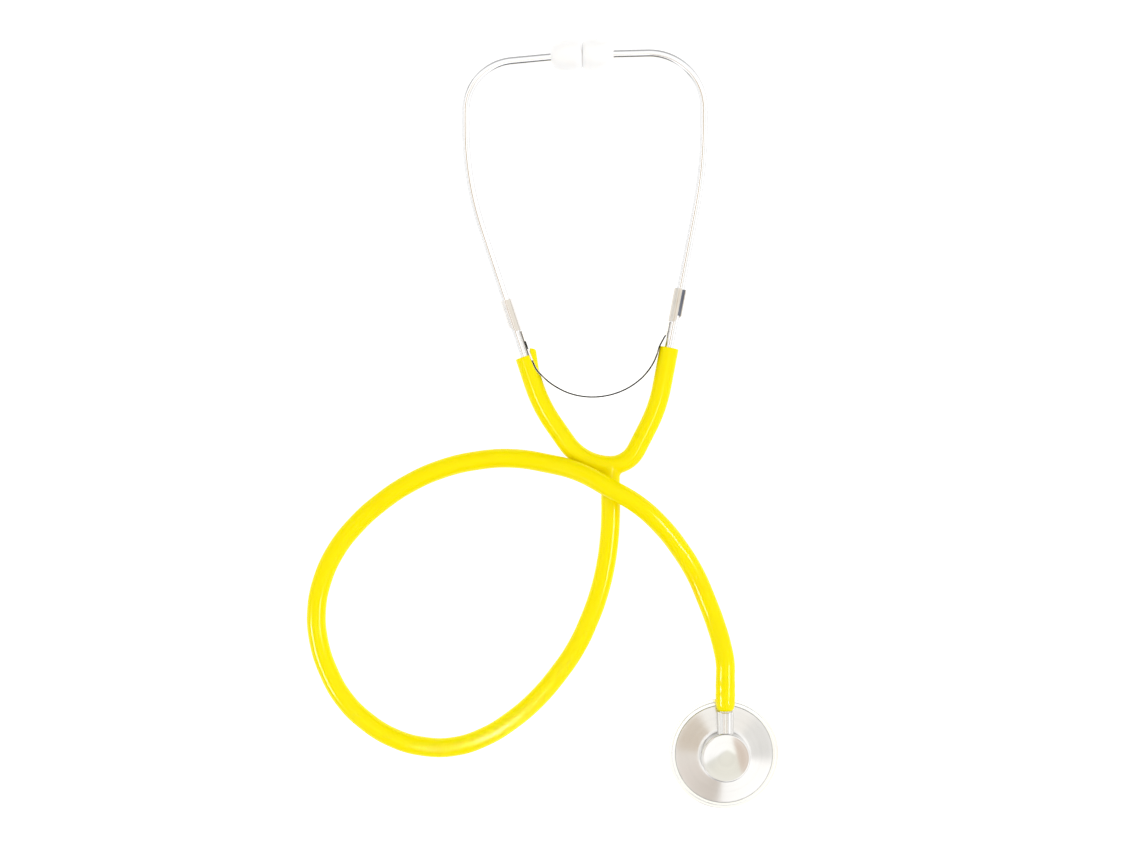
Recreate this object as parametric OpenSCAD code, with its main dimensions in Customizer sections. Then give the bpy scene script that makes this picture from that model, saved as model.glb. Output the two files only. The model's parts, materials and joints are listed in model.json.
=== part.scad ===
// Toy stethoscope with one chest piece, lying on a table with its hose looped over the yoke.
// Millimetres, +Z up, table at z = 0, +Y from the chest piece towards the ear tips.

/* [Hose and yoke] */
// Outer diameter of the hose and of the yoke's arms
hose_od = 8; // [7.6:0.1:8.4]
// Sound channel through the hose
hose_bore = 4; // [3.2:0.1:4.4]
// Length of the hose end that grips the chest piece's stem
socket_length = 14; // [12:0.5:16]
// Yoke stem, from the crotch to the start of the hose
yoke_stem = 13; // [11:0.5:15]
// Radius of the two fillets of the web between the yoke's stem and its arms
yoke_fillet = 3.6; // [3:0.1:6]
// Thickness of the web between the yoke's stem and its arms
web_t = 5.6; // [5:0.1:6.4]
// Radius of the gentle bend in each arm
arm_bend_r = 63; // [50:1:80]
// Round on the outer edge of the arms' mouths
arm_lip = 0.5; // [0.2:0.1:0.9]
// Round on the outer edge of the hose's end at the chest piece
hose_lip = 1; // [0.4:0.1:1.3]
// Radial clearance between ear tube and arm, and between ear tube and rolled end
tube_fit = 0.02; // [0.01:0.01:0.05]

/* [Left arm of the yoke] */
// Radius of the crotch on the left
left_crotch_r = 22.6; // [20:0.1:26]
// Turn of the crotch on the left, degrees
left_crotch_angle = 55; // [50:1:60]
// Straight between crotch and bend
left_arm_mid = 9.5; // [8:0.5:12]
// Turn of the gentle bend, degrees
left_arm_angle = 16.7; // [14:0.1:19]
// Straight at the mouth, which holds the ear tube
left_arm_mouth = 12.5; // [12.4:0.1:16]

/* [Right arm of the yoke] */
// Radius of the crotch on the right
right_crotch_r = 12.1; // [11:0.1:14]
// Turn of the crotch on the right, degrees
right_crotch_angle = 63; // [58:1:68]
// Straight between crotch and bend
right_arm_mid = 11; // [9:0.5:13]
// Turn of the gentle bend, degrees
right_arm_angle = 16.2; // [14:0.1:19]
// Straight at the mouth, which holds the ear tube
right_arm_mouth = 16.5; // [13:0.1:19]

/* [Ear tubes] */
// Outer diameter of an ear tube
ear_tube_od = 4; // [3.8:0.05:4.2]
// Wall of an ear tube
ear_tube_wall = 0.5; // [0.3:0.05:0.8]
// Depth of an ear tube in its arm
tube_grip = 12; // [8:0.5:12]
// Left tube: straight from the arm's mouth to the knee
left_leg = 56.5; // [50:0.5:64]
// Left tube: radius of the knee
left_knee_r = 134; // [120:1:150]
// Left tube: turn of the knee, degrees
left_knee_angle = 18.2; // [15:0.1:21]
// Left tube: straight between knee and crown
left_side = 7.2; // [4:0.1:12]
// Left tube: radius of the crown
left_crown_r = 21; // [18:0.5:24]
// Left tube: turn of the crown, degrees
left_crown_angle = 84.7; // [82:0.1:88]
// Right tube: radius of the knee
right_knee_r = 189; // [170:1:210]
// Right tube: turn of the knee, degrees
right_knee_angle = 10.8; // [8:0.1:13]
// Right tube: straight between knee and crown
right_side = 6.7; // [4:0.1:12]
// Right tube: radius of the crown
right_crown_r = 23; // [20:0.5:26]
// Right tube: turn of the crown, degrees
right_crown_angle = 91.5; // [90.5:0.1:95]

/* [Ear tips] */
// Length of an ear tip
tip_length = 13; // [11:0.1:15]
// Largest diameter of an ear tip
tip_d = 13.6; // [12:0.1:15]
// Diameter of the flat that the tips meet with
tip_face_d = 9.1; // [7:0.1:10]
// Diameter of the collar round the ear tube
tip_collar_d = 5.2; // [5:0.1:7]
// Sound hole of an ear tip
tip_hole_d = 2.2; // [1.6:0.1:2.8]
// Depth of the ear tube in its tip
tip_grip = 7.5; // [6:0.5:8]
// Gap between the two tips when the spring holds them together
tip_gap = 0.3; // [0.3:0.05:0.8]
// Radial running clearance between ear tube and tip
tip_fit = 0.05; // [0.03:0.01:0.08]
// How much nearer to the yoke the right tip lies than the left one
tip_offset = 0.3; // [0:0.1:1]
// How far to the left of the yoke's stem the tips meet
tip_meet_shift = 12; // [9:0.5:15]

/* [Leaf spring] */
// Thickness of the spring strip and of its rolled ends
strip_t = 0.6; // [0.4:0.05:0.8]
// Width of the spring strip
strip_w = 6; // [4:0.1:7]
// Lean of the strip beside the arms' mouths, degrees
strip_lean_angle = 18; // [0:1:22]
// How far the spring's bend lies below the arms' mouths
spring_drop = 19; // [16:0.5:22]
// Radius of the spring's two bends
spring_r = 24.5; // [20:0.5:24.5]
// Corner of the spring's path, inwards from the left arm's mouth
spring_left = 13.9; // [12:0.1:15]
// Corner of the spring's path, inwards from the right arm's mouth
spring_right = 16; // [14.5:0.1:17]
// Length of the spring's rolled ends
sleeve_length = 14; // [10:0.5:18]
// Distance of a rolled end from the arm's mouth
sleeve_rise = 11; // [9:0.5:14]
// Open seam of a rolled end, degrees
sleeve_seam_angle = 24; // [10:1:40]
// Where the left rolled end's seam faces, from straight up towards the inside, degrees
left_seam_angle = 13; // [0:1:40]
// Where the right rolled end's seam faces, from straight up towards the outside, degrees
right_seam_angle = 46; // [0:1:60]
// Slanted trim at a rolled end's lower corner
sleeve_trim = 2.8; // [1.5:0.1:4]
// Gap between the strip and what it must not touch
strip_gap = 0.3; // [0.25:0.05:0.5]

/* [Chest piece] */
// Outer diameter of the retaining ring
ring_d = 46.4; // [44:0.2:50]
// Width of the ring's wall
ring_wall = 2.75; // [2.2:0.05:3.2]
// Height of the retaining ring
ring_h = 4.2; // [3.6:0.1:4.6]
// Depth of the step round the ring's top
ring_step = 0.8; // [0.4:0.1:1.2]
// Thickness of the lip that holds the diaphragm
lip_t = 0.9; // [0.6:0.1:1.2]
// Width of the lip that holds the diaphragm
lip_w = 1.9; // [1.4:0.1:2.6]
// Thickness of the diaphragm
diaphragm_t = 0.35; // [0.2:0.05:0.5]
// Height of the cone's outer edge
cone_edge_h = 4.5; // [4.2:0.1:5]
// Height of the cone where it meets the boss
cone_top_h = 7.1; // [6.4:0.1:7.2]
// Diameter of the boss
boss_d = 20.4; // [18:0.2:23]
// Material of the boss above the stem
boss_cap = 0.5; // [0.4:0.1:1]
// Rise of the boss's domed top
boss_crown = 0.7; // [0.3:0.1:1.2]
// Round on the boss's edge
boss_edge = 0.9; // [0.5:0.1:1.4]
// Depth of the sound cavity above the rim's lower face
cavity_depth = 1.8; // [1.2:0.1:2.2]
// Width of the rim round the sound cavity
rim_w = 2.8; // [2:0.1:3.6]
// Sound channel through head and stem
channel_d = 2.6; // [2:0.1:3]
// Radial running clearance between ring and head
ring_fit = 0.05; // [0.03:0.01:0.08]
// Gap between the diaphragm and the head's rim
diaphragm_gap = 0.1; // [0.1:0.05:0.2]

/* [Stem of the chest piece] */
// Diameter of the stem's neck
neck_d = 6.8; // [6:0.1:7.2]
// Length of the neck that shows between hose and boss
neck_length = 8.8; // [6:0.2:10]
// Depth of the neck in the boss
neck_seat = 1.2; // [1:0.1:2]
// Diameter of the spigot that is pressed into the boss
spigot_d = 5.2; // [4.6:0.1:5.6]
// Diameter of the stem inside the hose
barb_d = 4.6; // [4.2:0.1:4.8]
// Height of the two rings that grip the hose
barb_rise = 0.3; // [0.2:0.05:0.4]
// Length of the stem inside the hose
barb_length = 12; // [10:0.5:12]
// Gap between the hose's end and the neck's shoulder
shoulder_gap = 0.3; // [0.2:0.05:0.5]
// Radial running clearance between stem and hose
swivel_fit = 0.05; // [0.03:0.01:0.08]
// Radial clearance of the pressed spigot
press_fit = 0.02; // [0.01:0.01:0.04]

/* [Hidden] */
$fn = 64;

// Route of the hose from the yoke to its socket: x, y and how far it is lifted off the table
hose_route = [
    [-5, -30, 0], [-5, -38, 0], [-5.5, -47, 0], [-7, -58.5, 0],
    [-10, -71, 0], [-14, -82, 0], [-19.5, -93.5, 0], [-27, -104.5, 0],
    [-36, -115, 0], [-46.5, -124, 0], [-58, -131, 0], [-70.5, -135, 0],
    [-83.5, -135, 0], [-96, -131.5, 0], [-107.5, -124.5, 0], [-117, -115, 0],
    [-123.5, -103.5, 0], [-127.5, -91, 0], [-128.5, -78, 0], [-126, -65, 0],
    [-120.5, -53, 0], [-112, -42, 0], [-101.5, -32.5, 0], [-89.5, -24.5, 0],
    [-76, -18.5, 0], [-61.5, -15, 0], [-46.5, -14, 0.4], [-32, -16, 2.4],
    [-18.5, -19.5, 6], [-6, -26, 8.6], [6, -33, 8.2], [16, -42, 5.4],
    [24, -52, 2], [30.5, -62.5, 0.2], [35.3, -73.5, 0.4], [39.2, -84.2, 2.6],
    [41.6, -93.2, 5.4], [42.6, -99.6, 6.8], [42.6, -105, 6.8]
];
// Number of flat sides round the hose's tube
hose_sides = 10;
// Gap left at the hose's seams, and the overrun of every cut
seam_gap = 0.05;
cut = 1;
sliver = 0.01;
// How far a bend laps into the straights beside it, and how much thinner its wall is
bend_lap = 0.1;
bend_ease = 0.02;
// Steps of rounded corners and outlines
corner_steps = 10;
curve_step = 15;
// Where along the strip its lean ends
lean_share = 0.2;
// Where along a tip its widest girth lies
tip_girth_share = 0.7;
// Width of the tip hole's countersink against the hole
tip_flare_share = 1.6;

hose_r = hose_od / 2;
channel_r = hose_bore / 2;
tube_r = ear_tube_od / 2;
tube_bore_r = tube_r - ear_tube_wall;
tip_r = tip_d / 2;
arm_bore_r = tube_r + tube_fit;
tip_reach = tip_length - tip_grip;

// Frames are [x, y, heading] in the yoke's plane, from the crotch, and steps are
// [straight, bend radius, turn], with a left turn positive
left_steps = [
    [0, left_crotch_r, -left_crotch_angle],
    [left_arm_mid, arm_bend_r, -left_arm_angle],
    [left_arm_mouth, 0, 0]
];
right_steps = [
    [0, right_crotch_r, right_crotch_angle],
    [right_arm_mid, arm_bend_r, right_arm_angle],
    [right_arm_mouth, 0, 0]
];
left_root = walk_to([0, 0, 180], [left_steps[0], [left_arm_mid / 2, 0, 0]], 2);
right_root = walk_to([0, 0, 0], [right_steps[0], [right_arm_mid / 2, 0, 0]], 2);
left_mouth = walk_to([0, 0, 180], left_steps, 3);
right_mouth = walk_to([0, 0, 0], right_steps, 3);

left_tube_start = back_from(left_mouth, tube_grip);
right_tube_start = back_from(right_mouth, tube_grip);
// The left tube's last straight is as long as its tip needs to reach the place where the tips meet
left_tube_bends = [
    [tube_grip + left_leg, left_knee_r, -left_knee_angle],
    [left_side, left_crown_r, -left_crown_angle]
];
left_crown_end = walk_to(left_tube_start, left_tube_bends, 2);
left_tip_face_x = -tip_meet_shift - tip_gap / 2;
left_ear_leg = (left_tip_face_x - left_crown_end[0]) / cos(left_crown_end[2]) - tip_reach;
left_tube_steps = concat(left_tube_bends, [[left_ear_leg, 0, 0]]);
left_tube_end = walk_to(left_tube_start, left_tube_steps, 3);
left_tip_face = step_end(left_tube_end, [tip_reach, 0, 0]);
// The right tube's first and last straights bring its tip to the left one
right_bent_end = walk_to(
    right_mouth, [[0, right_knee_r, right_knee_angle], [right_side, right_crown_r, right_crown_angle]], 2
);
right_tip_way = [
    left_tip_face[0] + tip_gap - right_bent_end[0],
    left_tip_face[1] - tip_offset - right_bent_end[1]
];
right_leg = share_along(right_tip_way, right_mouth[2], right_bent_end[2]);
right_ear_leg = share_along(right_tip_way, right_bent_end[2], right_mouth[2]) - tip_reach;
right_tube_steps = [
    [tube_grip + right_leg, right_knee_r, right_knee_angle],
    [right_side, right_crown_r, right_crown_angle],
    [right_ear_leg, 0, 0]
];
right_tube_end = walk_to(right_tube_start, right_tube_steps, 3);

// The yoke's plane rises from the crotch until the ear tips rest on the table
lay_tilt = asin((tip_r - hose_r) / left_tube_end[1]);
crotch = [hose_route[0][0], hose_route[0][1] + seam_gap + yoke_stem, hose_r];

hose_end = lifted(hose_route[len(hose_route) - 1]);
hose_mouth = hose_end - [0, socket_length + seam_gap, 0];
stem_h = hose_mouth[2];
boss_r = boss_d / 2;
boss_top_h = stem_h + neck_d / 2 + boss_cap;
head_at = [hose_mouth[0], hose_mouth[1] - neck_length - boss_r, 0];
ring_r = ring_d / 2;
ring_bore_r = ring_r - ring_wall;
head_r = ring_bore_r - ring_fit;
rim_h = lip_t + diaphragm_t + diaphragm_gap;
socket_bore_r = barb_d / 2 + barb_rise + swivel_fit;

// Frame at the end of a straight and a bend
function step_end(p, s) =
    let (
        h = p[2],
        a = h + s[2],
        side = sign(s[2]) * s[1]
    )
    [
        p[0] + s[0] * cos(h) - side * (sin(h) - sin(a)),
        p[1] + s[0] * sin(h) + side * (cos(h) - cos(a)),
        a
    ];
function walk_to(p, steps, n) = n == 0 ? p : step_end(walk_to(p, steps, n - 1), steps[n - 1]);
function back_from(p, d) = [p[0] - d * cos(p[2]), p[1] - d * sin(p[2]), p[2]];
// Point beside the ear tube: up along it from the arm's mouth, then inwards
function beside(p, up, inward) =
    let (side = p[0] < 0 ? -1 : 1)
    [
        p[0] + up * cos(p[2]) - side * inward * sin(p[2]),
        p[1] + up * sin(p[2]) + side * inward * cos(p[2])
    ];
// Part of the way w that lies along heading h, when the rest of it lies along heading other
function share_along(w, h, other) =
    (w[0] * sin(other) - w[1] * cos(other)) / (cos(h) * sin(other) - sin(h) * cos(other));
function lifted(p) = [p[0], p[1], hose_r + p[2]];
function unit(v) = v / norm(v);
function heading_of(v) = atan2(v[1], v[0]);

// Arc that rounds the corner at b of a path from a to c
function rounded_corner(a, b, c, r) =
    let (
        u = unit(a - b),
        v = unit(c - b),
        half = acos(u * v) / 2,
        centre = b + unit(u + v) * r / sin(half),
        from = heading_of(b + u * r / tan(half) - centre),
        swing = heading_of(b + v * r / tan(half) - centre) - from,
        sweep = swing > 180 ? swing - 360 : swing < -180 ? swing + 360 : swing
    )
    [
        for (i = [0:corner_steps])
            centre + r * [cos(from + sweep * i / corner_steps), sin(from + sweep * i / corner_steps)]
    ];

// Faces of a skin over n rings of k points each, from point number first on
function skin_faces(n, k, first) = [
    for (i = [0:n - 2], j = [0:k - 1])
        let (
            a = first + i * k + j,
            b = first + i * k + (j + 1) % k
        )
        each [[a, b, b + k], [a, b + k, a + k]]
];
function flipped(faces) = [for (f = faces) [f[2], f[1], f[0]]];
// Flat ring between the outer ring that starts at point a and the inner one at b
function annulus_faces(a, b, k) = [
    for (j = [0:k - 1])
        let (m = (j + 1) % k)
        each [[a + j, b + j, b + m], [a + j, b + m, a + m]]
];

function tangent(points, i) =
    unit(points[min(i + 1, len(points) - 1)] - points[max(i - 1, 0)]);
// Round section of radius r, square to the path at point i
function hose_ring(points, i, r) =
    let (
        t = tangent(points, i),
        side = unit(cross([0, 0, 1], t)),
        up = cross(t, side)
    )
    [
        for (j = [0:hose_sides - 1])
            points[i] + r * (side * cos(360 * j / hose_sides) + up * sin(360 * j / hose_sides))
    ];

// Puts children on the yoke's tilted plane, with the crotch as their origin
module on_yoke_plane() {
    translate(crotch)
        rotate([lay_tilt, 0, 0])
            children();
}

// Puts children at a frame, with +X along its heading
module at_frame(p) {
    translate([p[0], p[1], 0])
        rotate([0, 0, p[2]])
            children();
}

module section(r, bore_r) {
    difference() {
        circle(r);
        if (bore_r > 0) circle(bore_r);
    }
}

// Straight pipe along +Z with a rounded outer edge at its far end
module lipped_pipe(length, r, bore_r, lip) {
    rotate_extrude()
        polygon([
            [bore_r, 0],
            [r, 0],
            for (a = [0:curve_step:90])
                [r - lip * (1 - cos(a)), length - lip * (1 - sin(a))],
            [bore_r, length]
        ]);
}

// One straight and one bend of a pipe, from the origin along +X, solid where bore_r is zero
module pipe_step(s, r, bore_r) {
    lap = bend_lap * 180 / (PI * max(s[1], bend_lap));
    before = s[0] > 0 ? lap : 0;
    if (s[0] > 0)
        rotate([0, 90, 0])
            linear_extrude(s[0])
                section(r, bore_r);
    if (s[2] != 0)
        mirror([0, s[2] < 0 ? 1 : 0, 0])
            translate([s[0], s[1], 0])
                rotate([0, 0, -90])
                    rotate_extrude(angle = abs(s[2]) + before + lap, start = -before)
                        translate([s[1], 0])
                            section(r - bend_ease, bore_r > 0 ? bore_r + bend_ease : 0);
}

// Bent pipe: straights and bends in one plane, from frame p
module bent_pipe(p, steps, r, bore_r) {
    for (i = [0:len(steps) - 1])
        at_frame(walk_to(p, steps, i))
            pipe_step(steps[i], r, bore_r);
}

// Arms' crotch as solid rods, in the yoke's plane, which end at the arms' seams or run past them
module crotch_rods(r, past) {
    bent_pipe([0, 0, 180], [left_steps[0], [left_arm_mid / 2 + past, 0, 0]], r, 0);
    bent_pipe([0, 0, 0], [right_steps[0], [right_arm_mid / 2 + past, 0, 0]], r, 0);
}

// Rounded inner corner between the yoke's stem and an arm, from the arm to the stem
function fillet_points(crotch_r) =
    let (
        reach = hose_r - bend_ease * 5 + yoke_fillet,
        rise = sqrt(pow(crotch_r + reach, 2) - pow(reach, 2)),
        turn = atan2(rise, reach)
    )
    [
        for (i = [0:corner_steps])
            let (a = turn * (1 - i / corner_steps))
            [reach - yoke_fillet * cos(a), crotch_r - rise + yoke_fillet * sin(a)]
    ];

// Web that fills the yoke between its stem and its arms
module web() {
    left = fillet_points(left_crotch_r);
    right = fillet_points(right_crotch_r);
    linear_extrude(web_t, center = true)
        polygon([
            [0, 0],
            for (p = left) [-p[0], p[1]],
            for (i = [corner_steps:-1:0]) right[i]
        ]);
}

module y_junction() {
    color("yellow")
        difference() {
            union() {
                on_yoke_plane() crotch_rods(hose_r, 0);
                translate(crotch) {
                    rotate([90, 0, 0])
                        cylinder(h = yoke_stem, r = hose_r);
                    web();
                }
            }
            on_yoke_plane() crotch_rods(channel_r, cut);
            translate(crotch)
                rotate([90, 0, 0])
                    cylinder(h = yoke_stem + cut, r = channel_r);
        }
}

// An arm runs from its seam with the junction to the mouth that holds the ear tube
module arm(root, steps, mid) {
    start = step_end(root, [seam_gap, 0, 0]);
    bent = [[mid / 2 - seam_gap, steps[1][1], steps[1][2]]];
    color("yellow")
        on_yoke_plane() {
            bent_pipe(start, bent, hose_r, arm_bore_r);
            at_frame(walk_to(start, bent, 1))
                rotate([0, 90, 0])
                    lipped_pipe(steps[2][0], hose_r, arm_bore_r, arm_lip);
        }
}

module left_arm() {
    arm(left_root, left_steps, left_arm_mid);
}

module right_arm() {
    arm(right_root, right_steps, right_arm_mid);
}

module left_ear_tube() {
    color("silver")
        on_yoke_plane()
            bent_pipe(left_tube_start, left_tube_steps, tube_r, tube_bore_r);
}

module right_ear_tube() {
    color("silver")
        on_yoke_plane()
            bent_pipe(right_tube_start, right_tube_steps, tube_r, tube_bore_r);
}

// Outline of a tip from its collar to its face, as two quarter ellipses
function tip_outline() =
    let (
        collar_r = tip_collar_d / 2,
        face_r = tip_face_d / 2,
        girth = tip_length * tip_girth_share
    )
    [
        for (a = [0:curve_step:90])
            [collar_r + (tip_r - collar_r) * sin(a), girth * (1 - cos(a))],
        for (a = [curve_step:curve_step:90])
            [face_r + (tip_r - face_r) * cos(a), girth + (tip_length - girth) * sin(a)]
    ];

// Ear tip with its bore for the tube and its flared sound hole, collar at the origin, along +Z
module tip_body() {
    hole_r = tip_hole_d / 2;
    flare_r = hole_r * tip_flare_share;
    difference() {
        rotate_extrude()
            polygon(concat([[0, 0]], tip_outline(), [[0, tip_length]]));
        translate([0, 0, -cut])
            cylinder(h = cut + tip_grip + tip_fit, r = tube_r + tip_fit);
        cylinder(h = tip_length + cut, r = hole_r);
        translate([0, 0, tip_length - flare_r])
            cylinder(h = flare_r + sliver, r1 = 0, r2 = flare_r + sliver);
    }
}

module ear_tip(tube_end) {
    color("white")
        on_yoke_plane()
            at_frame(back_from(tube_end, tip_grip))
                rotate([0, 90, 0])
                    tip_body();
}

module left_ear_tip() {
    ear_tip(left_tube_end);
}

module right_ear_tip() {
    ear_tip(right_tube_end);
}

// Rolled end of the spring round an ear tube, with an open seam and a slanted lower corner
module spring_sleeve(mouth, seam_at, outer) {
    inner_r = tube_r + tube_fit;
    outer_r = inner_r + strip_t;
    color("lightgray")
        on_yoke_plane()
            at_frame(step_end(mouth, [sleeve_rise, 0, 0]))
                difference() {
                    rotate([0, 90, 0])
                        rotate([0, 0, seam_at + sleeve_seam_angle / 2])
                            rotate_extrude(angle = 360 - sleeve_seam_angle)
                                translate([inner_r, 0])
                                    square([strip_t, sleeve_length]);
                    translate([0, outer * outer_r, 0])
                        linear_extrude(hose_od, center = true)
                            polygon([
                                [-sleeve_trim, 0], [0, -sleeve_trim],
                                [sleeve_trim, 0], [0, sleeve_trim]
                            ]);
                }
}

module left_spring_sleeve() {
    spring_sleeve(left_mouth, 180 + left_seam_angle, 1);
}

module right_spring_sleeve() {
    spring_sleeve(right_mouth, 180 + right_seam_angle, -1);
}

// Path of the strip from the left rolled end round the yoke's crotch to the right one
function strip_path() =
    let (
        from_tube = tube_r + tube_fit + strip_t / 2,
        from_arm = hose_r + strip_gap * 2 + strip_t / 2,
        top = sleeve_rise - strip_gap,
        bend_y = (left_mouth[1] + right_mouth[1]) / 2 - spring_drop,
        p = [
            beside(left_mouth, top, from_tube),
            beside(left_mouth, strip_gap, from_arm),
            [left_mouth[0] + spring_left, bend_y],
            [right_mouth[0] - spring_right, bend_y],
            beside(right_mouth, strip_gap, from_arm),
            beside(right_mouth, top, from_tube)
        ]
    )
    [
        p[0],
        each rounded_corner(p[0], p[1], p[2], spring_r),
        each rounded_corner(p[1], p[2], p[3], spring_r),
        each rounded_corner(p[2], p[3], p[4], spring_r),
        each rounded_corner(p[3], p[4], p[5], spring_r),
        p[5]
    ];

function strip_lean_at(share) =
    let (u = min(share, 1 - share) / lean_share)
    u > 1 ? 0 : strip_lean_angle * pow(sin(180 * u), 2);

// Flat section of the strip at point i, leaning in over the spring's bend
function strip_ring(points, i) =
    let (
        flat = tangent(points, i),
        across = [-flat[1], flat[0], 0],
        lean = strip_lean_at(i / (len(points) - 1)),
        out = across * cos(lean) - [0, 0, sin(lean)],
        up = across * sin(lean) + [0, 0, cos(lean)],
        at = [points[i][0], points[i][1], 0]
    )
    [
        at - out * strip_t / 2 - up * strip_w / 2,
        at + out * strip_t / 2 - up * strip_w / 2,
        at + out * strip_t / 2 + up * strip_w / 2,
        at - out * strip_t / 2 + up * strip_w / 2
    ];

module leaf_spring() {
    path = strip_path();
    n = len(path);
    points = [for (i = [0:n - 1]) each strip_ring(path, i)];
    last = (n - 1) * 4;
    color("gainsboro")
        on_yoke_plane()
            polyhedron(
                points,
                concat(
                    flipped(skin_faces(n, 4, 0)),
                    [[0, 1, 2], [0, 2, 3]],
                    [[last, last + 2, last + 1], [last, last + 3, last + 2]]
                )
            );
}

module main_tube() {
    path = [for (p = hose_route) lifted(p)];
    n = len(path);
    k = hose_sides;
    outer = [for (i = [0:n - 1]) each hose_ring(path, i, hose_r)];
    inner = [for (i = [0:n - 1]) each hose_ring(path, i, channel_r)];
    color("yellow")
        polyhedron(
            concat(outer, inner),
            concat(
                flipped(skin_faces(n, k, 0)),
                skin_faces(n, k, n * k),
                flipped(annulus_faces(0, n * k, k)),
                annulus_faces((n - 1) * k, (2 * n - 1) * k, k)
            )
        );
}

// Last stretch of the hose, with the bore that the stem turns in
module hose_socket() {
    color("yellow")
        translate([hose_mouth[0], hose_mouth[1] + socket_length, hose_mouth[2]])
            rotate([90, 0, 0])
                lipped_pipe(socket_length, hose_r, socket_bore_r, hose_lip);
}

// Stem from the hose into the boss, drawn along +Z with the hose's end at z = 0
module stem_body() {
    barb_r = barb_d / 2;
    grip_h = barb_length / 6;
    seated = neck_length + boss_r / 2;
    difference() {
        union() {
            translate([0, 0, -barb_length])
                cylinder(h = barb_length + shoulder_gap + neck_d / 2, r = barb_r);
            for (i = [0:1])
                translate([0, 0, -barb_length + 2 * i * grip_h])
                    cylinder(h = grip_h, r1 = barb_r, r2 = barb_r + barb_rise);
            translate([0, 0, shoulder_gap])
                cylinder(h = neck_length + neck_seat - shoulder_gap, r = neck_d / 2);
            translate([0, 0, shoulder_gap])
                cylinder(h = seated - shoulder_gap, r = spigot_d / 2);
        }
        translate([0, 0, -barb_length - cut])
            cylinder(h = barb_length + seated + 2 * cut, r = channel_d / 2);
    }
}

module chest_stem() {
    color("silver")
        translate([hose_mouth[0], hose_mouth[1], hose_mouth[2]])
            rotate([90, 0, 0])
                stem_body();
}

// Outline of the head: rim, brushed cone, boss with a rounded edge and a low dome
function head_outline() =
    let (
        dome_r = (pow(boss_r - boss_edge, 2) + pow(boss_crown, 2)) / (2 * boss_crown),
        dome_turn = asin((boss_r - boss_edge) / dome_r)
    )
    [
        [0, rim_h],
        [head_r, rim_h],
        [head_r, cone_edge_h],
        [boss_r, cone_top_h],
        for (a = [0:curve_step:90])
            [
                boss_r - boss_edge * (1 - cos(a)),
                boss_top_h - boss_edge * (1 - sin(a))
            ],
        for (i = [1:corner_steps - 1])
            [
                dome_r * sin(dome_turn * (1 - i / corner_steps)),
                boss_top_h + boss_crown - dome_r * (1 - cos(dome_turn * (1 - i / corner_steps)))
            ],
        [0, boss_top_h + boss_crown]
    ];

module chest_head() {
    color("lightgray")
        translate(head_at)
            difference() {
                rotate_extrude()
                    polygon(head_outline());
                translate([0, 0, rim_h - cut])
                    cylinder(h = cut + cavity_depth, r = head_r - rim_w);
                cylinder(h = stem_h, r = channel_d / 2);
                translate([0, 0, stem_h])
                    rotate([-90, 0, 0]) {
                        cylinder(h = boss_r + cut, r = channel_d / 2);
                        translate([0, 0, boss_r / 2 - press_fit])
                            cylinder(h = boss_r, r = spigot_d / 2 + press_fit);
                        translate([0, 0, boss_r - neck_seat - press_fit])
                            cylinder(h = boss_r, r = neck_d / 2 + press_fit);
                    }
            }
}

// Retaining ring: wall round the head, lip under the diaphragm, stepped and rounded top
module rim_ring() {
    step_w = ring_wall / 2;
    round_r = ring_step / 2;
    color("whitesmoke")
        translate(head_at)
            rotate_extrude()
                polygon([
                    [ring_bore_r - lip_w, 0],
                    [ring_r - round_r, 0],
                    [ring_r, round_r],
                    for (a = [0:curve_step:90])
                        [ring_r - round_r * (1 - cos(a)), ring_h - ring_step - round_r * (1 - sin(a))],
                    [ring_r - step_w, ring_h - ring_step],
                    for (a = [0:curve_step:90])
                        [
                            ring_r - step_w - round_r * (1 - cos(a)),
                            ring_h - round_r * (1 - sin(a))
                        ],
                    [ring_bore_r, ring_h],
                    [ring_bore_r, lip_t],
                    [ring_bore_r - lip_w, lip_t]
                ]);
}

module diaphragm() {
    color("ivory")
        translate(head_at + [0, 0, lip_t])
            cylinder(h = diaphragm_t, r = ring_bore_r - diaphragm_gap);
}

left_ear_tip();
right_ear_tip();
left_ear_tube();
right_ear_tube();
left_spring_sleeve();
right_spring_sleeve();
leaf_spring();
left_arm();
right_arm();
y_junction();
main_tube();
hose_socket();
chest_stem();
chest_head();
rim_ring();
diaphragm();
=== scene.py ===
"""Looks of a toy stethoscope with a bright hose, laid flat on a pale table and seen from above.

All lengths are in metres. The yoke, the ear tubes and the spring lie in one plane that rises a
little from the yoke's crotch to the ear tips, and the chest piece lies flat on the table.
"""

import json
import logging
import math
from dataclasses import dataclass, field
from enum import Enum
from typing import Sequence

import bpy
from mathutils import Matrix, Vector

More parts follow.
